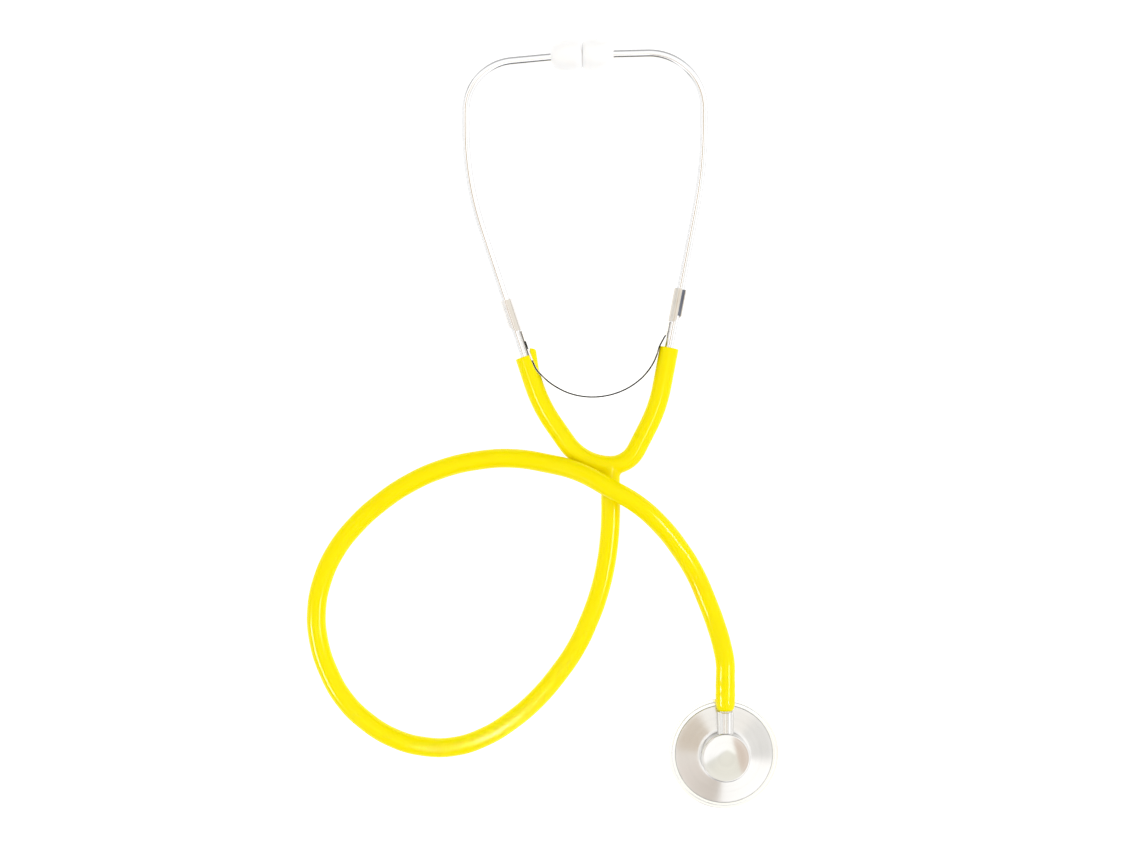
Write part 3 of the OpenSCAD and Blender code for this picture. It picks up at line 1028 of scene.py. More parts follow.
@dataclass
class Finishes:
    """All finishes of the object, each made once."""

    pvc: bpy.types.Material = field(default_factory=SoftPvc().make)
    tip: bpy.types.Material = field(default_factory=WhiteTip().make)
    tube: bpy.types.Material = field(default_factory=BrightMetal(
        "plated_ear_tube", light=(0.79, 0.79, 0.795), shade=(0.75, 0.75, 0.755), roughness=0.1).make)
    # The two sleeves are one steel: the left sleeve's finish is painted lighter and the right one's darker,
    # as light and shade
    spring: bpy.types.Material = field(default_factory=BrightMetal(
        "rolled_spring_steel", light=(0.64, 0.605, 0.55), shade=(0.59, 0.555, 0.5), roughness=0.24).make)
    bright_sleeve: bpy.types.Material = field(default_factory=BrightMetal(
        "bright_rolled_steel", light=(0.76, 0.74, 0.72), shade=(0.72, 0.7, 0.68), roughness=0.2).make)
    # Painted shade: the sheets in the sleeves' openings, tan on the left and dark blue-grey on the right,
    # stand in for the shaded gap
    seam: bpy.types.Material = field(default_factory=BrightMetal(
        "shaded_seam", light=(0.66, 0.62, 0.56), shade=(0.62, 0.58, 0.52), roughness=0.35).make)
    dark_seam: bpy.types.Material = field(default_factory=BrightMetal(
        "dark_seam", light=(0.2, 0.21, 0.235), shade=(0.1, 0.105, 0.13), roughness=0.35).make)
    strip: bpy.types.Material = field(default_factory=StripWithPaintedDarkEdges().make)
    stem: bpy.types.Material = field(default_factory=BrightMetal(
        "polished_stem", light=(0.7, 0.69, 0.67), shade=(0.66, 0.65, 0.63), roughness=0.08).make)
    head: bpy.types.Material = field(default_factory=TurnedMetal(
        "turned_head", centre=(0.0426, -0.13805), light=(0.69, 0.68, 0.665), shade=(0.63, 0.62, 0.605),
        polished_r=0.0102).make)
    ring: bpy.types.Material = field(default_factory=TurnedMetal(
        "turned_ring", centre=(0.0426, -0.13805), light=(0.88, 0.88, 0.88), shade=(0.85, 0.85, 0.85),
        roughness=0.18, anisotropy=0.5).make)
    film: bpy.types.Material = field(default_factory=DiaphragmFilm().make)


def dress(obj: bpy.types.Object, material: bpy.types.Material) -> bpy.types.Object:
    """Gives a piece its only material and logs its name.

    Args:
        obj: the piece.
        material: its finish.

    Returns:
        The same object.
    """
    obj.data.materials.clear()
    obj.data.materials.append(material)
    LOG.info("%s: finished with %s", obj.name, material.name)
    return obj


@dataclass
class Hose:
    """Free hose from the yoke's stem to the chest piece, with the end that grips the stem."""

    radius: float = 0.004
    socket_length: float = 0.014
    bore: float = 0.00235
    bore_depth: float = 0.012
    bore_edge: float = 0.0001
    lip: float = 0.0016
    lip_length: float = 0.0036
    swell: float = 0.00012
    swell_width: float = 0.0014
    swells_at: Point2 = (0.0035, 0.0075)
    length: float = 0.483
    route: tuple[tuple[float, float, float], ...] = (
        (-0.005, -0.03, 0.0), (-0.005, -0.038, 0.0), (-0.0055, -0.047, 0.0), (-0.007, -0.0585, 0.0),
        (-0.010, -0.071, 0.0), (-0.014, -0.082, 0.0), (-0.0195, -0.0935, 0.0), (-0.027, -0.1045, 0.0),
        (-0.036, -0.115, 0.0), (-0.0465, -0.124, 0.0), (-0.058, -0.131, 0.0), (-0.0705, -0.135, 0.0),
        (-0.0835, -0.135, 0.0), (-0.096, -0.1315, 0.0), (-0.1075, -0.1245, 0.0), (-0.117, -0.115, 0.0),
        (-0.1235, -0.1035, 0.0), (-0.1275, -0.091, 0.0), (-0.1285, -0.078, 0.0), (-0.126, -0.065, 0.0),
        (-0.1205, -0.053, 0.0), (-0.112, -0.042, 0.0), (-0.1015, -0.0325, 0.0), (-0.0895, -0.0245, 0.0),
        (-0.076, -0.0185, 0.0), (-0.0615, -0.015, 0.0), (-0.0465, -0.014, 0.0004),
        (-0.032, -0.016, 0.0024), (-0.0185, -0.0195, 0.006), (-0.006, -0.026, 0.0086),
        (0.006, -0.033, 0.0082), (0.016, -0.042, 0.0054), (0.024, -0.052, 0.002),
        (0.0305, -0.0625, 0.0002), (0.0353, -0.0735, 0.0004), (0.0392, -0.0842, 0.0026),
        (0.0416, -0.0932, 0.0054), (0.0426, -0.0996, 0.0068), (0.0426, -0.105, 0.0068),
    )

    def build_cord(self) -> bpy.types.Object:
        """Lays the free hose along its route as a bevelled curve.

        Returns:
            The curve object.
        """
        clear_selection()
        bpy.ops.curve.primitive_bezier_curve_add(location=(0.0, 0.0, 0.0))
        obj = rename(bpy.context.object, "hose")
        curve = obj.data
        curve.dimensions = "3D"
        curve.splines.clear()
        spline = curve.splines.new("BEZIER")
        spline.bezier_points.add(len(self.route) - 1)
        for knot, (x, y, lift) in zip(spline.bezier_points, self.route):
            knot.co = (x, y, self.radius + lift)
            knot.handle_left_type = "AUTO"
            knot.handle_right_type = "AUTO"
        curve.resolution_u = 10
        curve.bevel_depth = self.radius
        curve.bevel_resolution = 12
        curve.use_fill_caps = True
        return obj

    def swelling(self, z: float) -> float:
        """How far the hose's end swells at a height, over the stem's grip rings."""
        return sum(self.swell * math.exp(-(((z - at) / self.swell_width) ** 2)) for at in self.swells_at)

    def build_socket(self) -> bpy.types.Object:
        """Turns the hose's end with its bore, its soft lip and its swelling over the grip rings.

        Returns:
            The mesh object.
        """
        r, lip, end = self.radius, self.lip, self.socket_length
        full = end - self.lip_length
        n = 27
        outer = [(r, 0.0)] + [(r + self.swelling(full * i / n), full * i / n) for i in range(1, n)]
        rim = [(r - lip * (1 - math.cos(a)), full + self.lip_length * math.sin(a)) for a in quarter(10)]
        bottom = end - self.bore_depth
        inner = [(self.bore, end - self.bore_edge), (self.bore, bottom), (0.0, bottom)]
        back = [(0.0, 0.0), (r, 0.0)]
        obj = turned("hose_end", outer + rim + inner + back, 72)
        x, y, lift = self.route[-1]
        stood(obj, Vector((x, y, r + lift)), TO_CHEST_PIECE)
        return shade(obj)

    def build(self, finish: Finishes) -> list[bpy.types.Object]:
        """Args:
            finish: the object's finishes.

        Returns:
            The hose's pieces.
        """
        cord = self.build_cord()
        dress(cord, finish.pvc)
        end = dress(self.build_socket(), finish.pvc)
        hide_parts("main_tube")
        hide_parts("hose_socket")
        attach(cord, "tubing")
        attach(end, "tubing")
        return [cord, end]


@dataclass(frozen=True)
class ArmShape:
    """Sizes of one arm of the yoke."""

    side: Side
    crotch_r: float
    crotch_turn: float
    mid: float
    bend_r: float
    bend_turn: float
    mouth: float

    @property
    def start(self) -> Frame2:
        """Frame at the crotch, heading into this arm."""
        return Frame2(0.0, 0.0, 180.0 if self.side is Side.LEFT else 0.0)

    def signed(self, turn: float) -> float:
        """Turn in this arm's sense."""
        return turn * self.side.value

    @property
    def crotch_step(self) -> Step:
        """Bend at the crotch."""
        return Step(0.0, self.crotch_r, self.signed(self.crotch_turn))

    @property
    def root(self) -> Frame2:
        """Frame at the seam between the yoke and this arm."""
        c = self.crotch_step
        return self.start.walked(c.straight, c.radius, c.turn).walked(self.mid / 2)

    @property
    def mouth_frame(self) -> Frame2:
        """Frame at the arm's mouth."""
        bent = self.root.walked(self.mid / 2, self.bend_r, self.signed(self.bend_turn))
        return bent.walked(self.mouth)


LEFT_ARM = ArmShape(
    Side.LEFT, crotch_r=0.0226, crotch_turn=55.0, mid=0.0095, bend_r=0.063, bend_turn=16.7, mouth=0.0125,
)
RIGHT_ARM = ArmShape(
    Side.RIGHT, crotch_r=0.0121, crotch_turn=63.0, mid=0.011, bend_r=0.063, bend_turn=16.2, mouth=0.0165,
)


@dataclass
class Yoke:
    """Soft forked piece that joins both ear tubes to the hose."""

    radius: float = 0.004
    bore: float = 0.00203
    stem: float = 0.013
    fillet: float = 0.0036
    lip: float = 0.0005
    overlap: float = 0.00015
    corner_reach: float = 0.0075
    corner_fade: float = 0.0035
    corner_up: float = 0.001
    smoothing: float = 0.6
    smoothing_rounds: int = 60
    bore_depth: float = 0.011
    bore_lip: float = 0.0003
    bend_length: float = 0.0175
    slit_out: float = 0.0028
    slit_depth: float = 0.0085
    slit_gap: float = 0.0004
    flap_out: float = 0.0011
    flap_up: float = 0.0027
    flap_full: float = 0.0012
    flap_slope: float = 0.9
    voxel: float = 0.00032

    def build_fork(self) -> bpy.types.Object:
        """Models the crotch: three rods, united, then softened where they meet.

        Returns:
            The mesh object.
        """
        spare, start_lap = 0.003, 0.0002
        rods = []
        for arm in (LEFT_ARM, RIGHT_ARM):
            path = plane_path(arm.start, [arm.crotch_step, Step(arm.mid / 2 + spare)])
            rods.append(self.rod("fork_rod", path, -start_lap))
        c = Vector(PLANE.crotch)
        down = Path([c, c - Vector((0.0, self.stem + spare, 0.0))], UP)
        rods.append(self.rod("fork_stem", down.cut(0.0, down.length, spacing=0.001), 0.0))
        guide = self.joined(rods, "fork_guide")
        only(guide)
        bpy.ops.object.duplicate()
        fork = rename(bpy.context.object, "yoke_fork")
        remesh = fork.modifiers.new("unite", "REMESH")
        remesh.mode = "VOXEL"
        remesh.voxel_size = self.voxel
        remesh.adaptivity = 0.0
        apply_modifiers(fork)
        self.soften(fork, guide)
        bpy.data.objects.remove(guide)
        for arm in (LEFT_ARM, RIGHT_ARM):
            at = PLANE.spot(arm.root)
            cut_by_plane(fork, at, PLANE.spot(arm.root.walked(AHEAD)) - at)
        cut_by_plane(fork, c - Vector((0.0, self.stem + self.overlap, 0.0)), TO_CHEST_PIECE)
        return shade(fork, 50.0)

    def rod(self, name: str, path: Path, start: float) -> bpy.types.Object:
        """Closed round rod along a path.

        Args:
            name: name of the rod.
            path: line of the rod.
            start: distance at which the rod starts.

        Returns:
            The mesh object.
        """
        end = path.length
        profile = dense([(self.radius, start), (self.radius, end)], EDGE_STEP)
        return lay_along(turned(name, [(0.0, start), *profile, (0.0, end)], 64), path)

    def joined(self, parts: Sequence[bpy.types.Object], name: str) -> bpy.types.Object:
        """Joins parts into one object.

        Args:
            parts: the parts.
            name: name of the new object.

        Returns:
            The object.
        """
        clear_selection()
        for part in parts:
            part.select_set(True)
        bpy.context.view_layer.objects.active = parts[0]
        bpy.ops.object.join()
        return rename(bpy.context.object, name)

    def soften(self, fork: bpy.types.Object, guide: bpy.types.Object) -> None:
        """Pulls the fork onto its rods and rounds the inner corners between them.

        Args:
            fork: remeshed fork.
            guide: the exact rods.
        """
        wrap = fork.modifiers.new("true", "SHRINKWRAP")
        wrap.target = guide
        wrap.wrap_method = "NEAREST_SURFACEPOINT"
        apply_modifiers(fork)
        group = fork.vertex_groups.new(name="corner")
        centres = [self.corner(arm) for arm in (LEFT_ARM, RIGHT_ARM)]
        for v in fork.data.vertices:
            near = min((v.co - c).length for c in centres)
            weight = min(max((self.corner_reach - near) / self.corner_fade, 0.0), 1.0)
            if weight > 0.0:
                group.add([v.index], weight, "REPLACE")
        smooth = fork.modifiers.new("round", "SMOOTH")
        smooth.vertex_group = "corner"
        smooth.factor = self.smoothing
        smooth.iterations = self.smoothing_rounds
        apply_modifiers(fork)
        fork.vertex_groups.clear()

    def corner(self, arm: ArmShape) -> Vector:
        """Point of the inner corner between the stem and an arm.

        Args:
            arm: sizes of the arm.

        Returns:
            The point.
        """
        reach = self.radius + self.fillet
        rise = math.sqrt((arm.crotch_r + reach) ** 2 - reach**2)
        c = Vector(PLANE.crotch)
        return c + Vector((arm.side.value * self.radius, arm.crotch_r - rise + self.corner_up, 0.0))

    def build_arm(self, arm: ArmShape) -> bpy.types.Object:
        """Turns an arm with its rounded mouth and its bore, and lays it along its bend.

        Args:
            arm: sizes of the arm.

        Returns:
            The mesh object.
        """
        path = plane_path(arm.root, [
            Step(arm.mid / 2, arm.bend_r, arm.signed(arm.bend_turn)), Step(arm.mouth)])
        end, r = path.length, self.radius
        outer = dense([(r, 0.0), (r, end - self.lip)], EDGE_STEP)
        rim = arc(r - self.lip, end - self.lip, self.lip, 0.0, 90.0, 6)
        bottom = end - self.bore_depth
        inner = [(self.bore + self.bore_lip, end), (self.bore, end - self.bore_lip), (self.bore, bottom)]
        profile = [(0.0, 0.0), *outer, *rim[1:], *inner, (0.0, bottom)]
        obj = turned(f"{arm.side.name.lower()}_arm_skin", profile, 64)
        if arm.side is Side.LEFT:
            self.open_flap(obj, end)
        return shade(lay_along(obj, path))

    def open_flap(self, skin: bpy.types.Object, end: float) -> None:
        """Pushes out the part of an arm's mouth that lies outside the spring's strip.

        Args:
            skin: the arm, still straight along Z, whose inner side faces -X.
            end: height of its mouth.
        """
        for v in skin.data.vertices:
            beyond = -v.co.x - self.slit_out
            if beyond <= 0.0:
                continue
            share = min(max((v.co.z - end + self.slit_depth) / self.slit_depth, 0.0), 1.0)
            v.co.x -= share**1.5 * (self.slit_gap + self.flap_out * min(beyond / self.flap_full, 1.0))
            v.co.z += share**4 * (self.flap_up - self.flap_slope * beyond)
        skin.data.update()

    def build(self, finish: Finishes, spring: "LeafSpring") -> list[bpy.types.Object]:
        """Builds and dresses the yoke.

        Args:
            finish: the object's finishes.
            spring: the strip that passes through a slit in the left arm's mouth.

        Returns:
            The yoke's pieces.
        """
        fork = dress(self.build_fork(), finish.pvc)
        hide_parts("y_junction")
        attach(fork, "tubing")
        pieces = [fork]
        for arm, node in ((LEFT_ARM, "left_arm"), (RIGHT_ARM, "right_arm")):
            skin = dress(self.build_arm(arm), finish.pvc)
            if arm.side is Side.LEFT:
                spring.part_arm(skin)
            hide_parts(node)
            root = arm.root
            bend_end = root.walked(arm.mid / 2 + self.bend_length)
            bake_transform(skin)
            pieces.append(skin)
        return pieces


@dataclass(frozen=True)
class EarTube:
    """One bent ear tube with its tip and the spring's rolled end."""

    arm: ArmShape
    leg: float
    knee_r: float
    knee_turn: float
    straight: float
    crown_r: float
    crown_turn: float
    ear_leg: float
    seam_at: float
    sleeve_seam: float
    radius: float = 0.002
    wall: float = 0.0005
    edge: float = 0.0002
    grip: float = 0.012
    tip_length: float = 0.01312
    tip_grip: float = 0.0075
    tip_r: float = 0.0068
    tip_face_r: float = 0.00455
    tip_collar_r: float = 0.0026
    tip_hole_r: float = 0.0011
    tip_flare: tuple[Point2, ...] = ((1.7, 0.0), (1.15, 0.0009), (1.0, 0.0016))
    tip_fit: float = 0.00005
    tip_edge: float = 0.0003
    tip_girth: float = 0.7
    strip_t: float = 0.0006
    sleeve_rise: float = 0.011
    sleeve_length: float = 0.014
    sleeve_fit: float = 0.00002
    sleeve_edge: float = 0.0001
    trim: float = 0.0028
    # Sheet of painted shade inside each sleeve's opening
    shade_sheet_t: float = 0.0002
    shade_sheet_out: float = 0.00025
    shade_sheet_lap: float = 16.0

    @property
    def word(self) -> str:
        """Name of the side."""
        return self.arm.side.name.lower()

    @property
    def body(self) -> str:
        """CAD body that this tube belongs to."""
        return f"{self.word}_binaural"

    @property
    def sleeve_foot(self) -> Frame2:
        """Frame at the end of the spring's sleeve that faces the arm."""
        return self.arm.mouth_frame.walked(self.sleeve_rise)

    @property
    def path(self) -> Path:
        """Line of the tube, from inside the arm to inside the tip.

        Returns:
            The line in the row frame.
        """
        mouth = self.arm.mouth_frame
        start = mouth.walked(-self.grip)
        turn = self.arm.signed(1.0)
        return plane_path(start, [
            Step(self.grip + self.leg, self.knee_r, turn * self.knee_turn),
            Step(self.straight, self.crown_r, turn * self.crown_turn),
            Step(self.ear_leg),
        ])

    def build_tube(self) -> bpy.types.Object:
        """Models the tube with its bore.

        Returns:
            The mesh object.
        """
        path = self.path
        r, b, end, edge = self.radius, self.radius - self.wall, path.length, self.edge
        outer = dense([(r, edge), (r, end - edge)], step=0.001)
        inner = dense([(b, end - edge), (b, edge)], step=0.003)
        far = [(r - edge, end), (b + edge / 2, end)]
        near = [(b + edge / 2, 0.0), (r - edge, 0.0)]
        profile = [*outer, *far, *inner, *near, outer[0]]
        obj = turned(f"{self.word}_tube", profile, 40)
        return shade(lay_along(obj, path))

    def build_tip(self) -> bpy.types.Object:
        """Turns the ear tip: collar, full belly, soft face and flared sound hole.

        Returns:
            The mesh object.
        """
        length, girth = self.tip_length, self.tip_length * self.tip_girth
        collar, widest, face, edge = self.tip_collar_r, self.tip_r, self.tip_face_r, self.tip_edge
        belly = [(collar + (widest - collar) * math.sin(a), girth * (1.0 - math.cos(a))) for a in quarter(16)]
        belly += [(face + (widest - face) * math.cos(a), girth + (length - girth) * math.sin(a))
                  for a in quarter(14)[1:]]
        hole, bore = self.tip_hole_r, self.radius + self.tip_fit
        mouth = [(hole * share, length - deep) for share, deep in self.tip_flare]
        mouth.append((hole, self.tip_grip))
        seat = [(bore, self.tip_grip), (bore, edge), (bore + edge, 0.0), (collar - edge, 0.0)]
        obj = turned(f"{self.word}_tip", [*belly, *mouth, *seat, belly[0]], 72)
        path = self.path
        at, _, _, tangent = path.frame_at(path.length - self.tip_grip)
        stood(obj, at, tangent)
        return shade(obj)

    def rolled(self, name: str, line: Profile, steps: int, angle: float, thickness: float,
               start: float) -> bpy.types.Object:
        """Rolls a sheet round the tube, above the arm's mouth.

        Args:
            name: name of the new object.
            line: middle of the sheet, as radius and height.
            steps: number of sides for a whole turn.
            angle: how far it is rolled, in degrees.
            thickness: thickness of the sheet.
            start: angle at which it starts.

        Returns:
            The mesh object.
        """
        obj = turned(name, line, steps, angle)
        thickened(obj, thickness)
        obj.matrix_world = Matrix.Rotation(math.radians(start), 4, "Z")
        settle(obj)
        foot, ahead = self.sleeve_foot, 0.02
        return lay_along(obj, Path([PLANE.spot(foot), PLANE.spot(foot.walked(ahead))], PLANE.up))

    def build_sleeve(self) -> bpy.types.Object:
        """Rolls the spring's end round the tube, open at its seam and trimmed on a slant.

        Returns:
            The mesh object.
        """
        inner = self.radius + self.sleeve_fit
        n = 14
        line = [(inner + self.strip_t / 2, self.sleeve_length * i / n) for i in range(n + 1)]
        start = self.seam_at - self.sleeve_seam / 2
        obj = self.rolled(f"{self.word}_sleeve", line, 56, 360.0 - self.sleeve_seam, self.strip_t, start)
        foot = self.sleeve_foot
        corner = foot.walked(self.trim).beside(0.0, -inner - self.strip_t)
        slant = PLANE.spot(foot.beside(-AHEAD, -AHEAD)) - PLANE.spot(foot)
        cut_by_plane(obj, PLANE.spot(corner), slant)
        bevelled(obj, self.sleeve_edge)
        return shade(obj)

    def build_seam(self) -> bpy.types.Object:
        """Rolls the sheet of painted shade that shows in the sleeve's opening.

        Returns:
            The mesh object.
        """
        radius, margin = self.radius + self.shade_sheet_out, 0.0002
        foot = margin if self.arm.side is Side.LEFT else self.trim
        line = dense([(radius, foot), (radius, self.sleeve_length - margin)], step=0.0012)
        angle = self.sleeve_seam + self.shade_sheet_lap
        start = self.seam_at + angle / 2
        return shade(self.rolled(f"{self.word}_seam", line, 72, angle, self.shade_sheet_t, start))

    def build(self, finish: Finishes) -> None:
        """Builds and dresses the tube, its tip and its sleeve.

        Args:
            finish: the object's finishes.
        """
        tube = dress(self.build_tube(), finish.tube)
        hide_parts(f"{self.word}_ear_tube")
        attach(tube, self.body)
        tip = dress(self.build_tip(), finish.tip)
        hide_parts(f"{self.word}_ear_tip")
        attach(tip, f"{self.word}_tip")
        left = self.arm.side is Side.LEFT
        # The left sleeve gets the painted lighter copy of the steel, the right sleeve the darker one
        metal, seam_shade_finish = (finish.bright_sleeve, finish.seam) if left else (finish.spring, finish.dark_seam)
        sleeve = dress(self.build_sleeve(), metal)
        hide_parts(f"{self.word}_spring_sleeve")
        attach(sleeve, self.body)
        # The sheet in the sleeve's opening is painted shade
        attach(dress(self.build_seam(), seam_shade_finish), self.body)


LEFT_TUBE = EarTube(
    LEFT_ARM, leg=0.0565, knee_r=0.134, knee_turn=18.2, straight=0.0072, crown_r=0.021, crown_turn=84.7,
    ear_leg=0.0240815, seam_at=113.0, sleeve_seam=42.0,
)
RIGHT_TUBE = EarTube(
    RIGHT_ARM, leg=0.0589915, knee_r=0.189, knee_turn=10.8, straight=0.0067, crown_r=0.023, crown_turn=91.5,
    ear_leg=0.0217764, seam_at=129.0, sleeve_seam=44.0,
)


@dataclass
class LeafSpring:
    """Flat steel strip that pulls the ear tubes together."""

    thickness: float = 0.0006
    width: float = 0.006
    edge: float = 0.00006
    slit_fit: float = 0.0002
    slit_spare: float = 0.0018
    inside: float = 0.0085
    middle: Point2 = (-0.0068, 0.0287)
    knots: tuple[Point2, ...] = (
        (-0.03723, 0.05652), (-0.03577, 0.05205), (-0.03448, 0.04827), (-0.03289, 0.04406),
        (-0.0314, 0.0407), (-0.0294, 0.03825), (-0.0255, 0.0347), (-0.0212, 0.032), (-0.0171, 0.0302),
        (-0.0123, 0.02905), (-0.0073, 0.0287), (-0.0024, 0.02915), (0.0025, 0.0304), (0.0075, 0.03265),
        (0.0121, 0.0359), (0.0153, 0.03925), (0.0178, 0.043), (0.0194, 0.0468), (0.02032, 0.0498),
        (0.02208, 0.05315), (0.02344, 0.05574), (0.02432, 0.06035),
    )

    def line(self) -> list[Vector]:
        """Points of the strip's centre line in the yoke's plane, smooth through its knots.

        Returns:
            The points.
        """
        ends = [Vector((*k, 0.0)) for k in (self.knots[0], *self.knots, self.knots[-1])]
        pieces, out = 6, []
        for a, b, c, d in zip(ends, ends[1:], ends[2:], ends[3:]):
            for i in range(pieces):
                t = i / pieces
                out.append(0.5 * (2.0 * b + (c - a) * t + (2.0 * a - 5.0 * b + 4.0 * c - d) * t**2
                                  + (3.0 * b - a - 3.0 * c + d) * t**3))
        return [*out, ends[-1]]

    def blade(self, name: str, thickness: float, width: float) -> bpy.types.Object:
        """Draws the strip's line, widens it and gives it its thickness.

        Args:
            name: name of the new object.
            thickness: thickness of the strip.
            width: width of the strip.

        Returns:
            The mesh object.
        """
        flat = Path([PLANE.place(p.x, p.y) for p in self.line()], PLANE.up)
        along, across = 150, 6
        obj = drawn_line(name, [(0.0, -width / 2, flat.length * i / along) for i in range(along + 1)])
        only(obj)
        bpy.ops.object.mode_set(mode="EDIT")
        bpy.ops.mesh.select_all(action="SELECT")
        for _ in range(across):
            bpy.ops.mesh.extrude_region_move(TRANSFORM_OT_translate={"value": (0.0, width / across, 0.0)})
        bpy.ops.object.mode_set(mode="OBJECT")
        thickened(obj, thickness)
        return lay_along(obj, flat)

    def part_arm(self, skin: bpy.types.Object) -> None:
        """Cuts the slit that the strip passes through at an arm's mouth.

        Args:
            skin: the arm.
        """
        cutter = self.blade("slit_cutter", self.thickness + self.slit_fit, self.width + self.slit_spare)
        cut = skin.modifiers.new("slit", "BOOLEAN")
        cut.operation = "DIFFERENCE"
        cut.solver = "EXACT"
        cut.object = cutter
        apply_modifiers(skin)
        bpy.data.objects.remove(cutter)
        shade(skin)

    def build(self, finish: Finishes) -> None:
        """Builds the strip, parts it at its middle and dresses both halves.

        Args:
            finish: the object's finishes.
        """
        whole = self.blade("left_strip", self.thickness, self.width)
        bevelled(whole, self.edge)
        shade(whole)
        middle = PLANE.place(*self.middle)
        only(whole)
        bpy.ops.object.duplicate()
        other = rename(bpy.context.object, "right_strip")
        across = Vector((1.0, 0.0, 0.0))
        cut_by_plane(whole, middle, across)
        cut_by_plane(other, middle, -across)
        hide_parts("leaf_spring")
        for half, arm in ((whole, LEFT_ARM), (other, RIGHT_ARM)):
            dress(half, finish.strip)
            mouth = arm.mouth_frame.walked(-self.inside)
            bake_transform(half)


@dataclass
class ChestPiece:
    """Turned head with its boss, stem, retaining ring and diaphragm."""

    centre: tuple[float, float] = (0.0426, -0.13805)
    head_r: float = 0.0204
    soft: float = 0.0001
    rim_h: float = 0.00135
    rim_w: float = 0.0028
    cavity: float = 0.0018
    cone_edge_h: float = 0.0045
    cone_edge: tuple[Point2, ...] = ((0.0, -0.00025), (-0.00015, -0.00006), (-0.0004, 0.00002))
    cone_top_h: float = 0.0071
    boss_root: tuple[Point2, Point2] = ((0.0002, -0.00004), (0.0, 0.00012))
    boss_r: float = 0.0102
    boss_top_h: float = 0.0147
    boss_crown: float = 0.0007
    boss_edge: float = 0.0009
    ring_r: float = 0.0232
    ring_wall: float = 0.00275
    ring_h: float = 0.0042
    ring_step: float = 0.0008
    lip_t: float = 0.0009
    lip_w: float = 0.0019
    film_t: float = 0.00035
    film_gap: float = 0.00001
    film_rib: tuple[Point2, ...] = ((0.86, 0.0), (0.84, 0.00012), (0.82, 0.0))
    stem_h: float = 0.0108
    hose_end_y: float = -0.11905
    neck_r: float = 0.0034
    neck_length: float = 0.0088
    neck_edge: float = 0.00025
    shoulder: float = 0.0003
    boss_lap: float = 0.0012
    barb_r: float = 0.0023
    barb_rise: float = 0.0003
    barb_length: float = 0.012
    channel_r: float = 0.0013

    @property
    def at(self) -> Vector:
        """Middle of the head on the table."""
        return Vector((*self.centre, 0.0))

    def build_head(self) -> bpy.types.Object:
        """Turns the head: sound cavity, rim, cone, boss and dome.

        Returns:
            The mesh object.
        """
        cavity_top, soft = self.rim_h + self.cavity, self.soft
        wall = self.head_r - self.rim_w
        under = [
            (0.0, cavity_top), (wall - 6 * soft, cavity_top - 2 * soft), (wall, cavity_top - 8 * soft),
            (wall, self.rim_h + soft), (wall + soft, self.rim_h),
            (self.head_r - 2 * soft, self.rim_h), (self.head_r, self.rim_h + 2 * soft),
        ]
        edge = [(self.head_r + r, self.cone_edge_h + z) for r, z in self.cone_edge]
        foot, root = [(self.boss_r + r, self.cone_top_h + z) for r, z in self.boss_root]
        cone = dense([edge[-1], foot], step=0.0014)[1:]
        flat_r, side_h = self.boss_r - self.boss_edge, self.boss_top_h - self.boss_edge
        side = [root, (self.boss_r, side_h)]
        turn = arc(flat_r, side_h, self.boss_edge, 0.0, 90.0, 8)[1:]
        dome_r = (flat_r**2 + self.boss_crown**2) / (2 * self.boss_crown)
        sweep = math.asin(flat_r / dome_r)
        crown_h, n = self.boss_top_h + self.boss_crown, 14
        turns = [sweep * (1 - i / n) for i in range(1, n)]
        dome = [(dome_r * math.sin(a), crown_h - dome_r * (1 - math.cos(a))) for a in turns]
        top = [(0.0, crown_h)]
        obj = turned("chest_head_turned", [*under, *edge, *cone, *side, *turn, *dome, *top], 144)
        stood(obj, self.at, UP)
        return shade(obj, 25.0)

    def build_ring(self) -> bpy.types.Object:
        """Turns the retaining ring with its stepped, rounded top and its lip.

        Returns:
            The mesh object.
        """
        bore, soft = self.ring_r - self.ring_wall, self.soft
        lip_r = bore - self.lip_w
        step_r, mid_h = self.ring_r - self.ring_wall / 2, self.ring_h - self.ring_step
        turn, cut = self.ring_step / 2, 1.5 * soft
        profile = [
            (lip_r + soft, 0.0), (self.ring_r - turn, 0.0), (self.ring_r, turn),
            *arc(self.ring_r - turn, mid_h - turn, turn, 0.0, 90.0, 6),
            (step_r + soft, mid_h), (step_r, mid_h + soft),
            *arc(step_r - turn, self.ring_h - turn, turn, 0.0, 90.0, 6),
            (bore + cut, self.ring_h), (bore, self.ring_h - cut), (bore, self.lip_t),
            (lip_r + soft, self.lip_t), (lip_r, self.lip_t - soft), (lip_r, soft), (lip_r + soft, 0.0),
        ]
        obj = turned("retaining_ring", profile, 160)
        stood(obj, self.at, UP)
        return shade(obj, 25.0)

    def build_film(self) -> bpy.types.Object:
        """Turns the diaphragm, with a shallow pressed rib near its edge.

        Returns:
            The mesh object.
        """
        r = self.ring_r - self.ring_wall - self.soft
        low, high = self.lip_t + self.film_gap, self.lip_t + self.film_t
        rib = [(r * share, low + rise) for share, rise in self.film_rib]
        profile = [(0.0, low), *reversed(rib), (r, low), (r, high), (0.0, high)]
        obj = turned("diaphragm_disc", profile, 96)
        stood(obj, self.at, UP)
        return shade(obj)

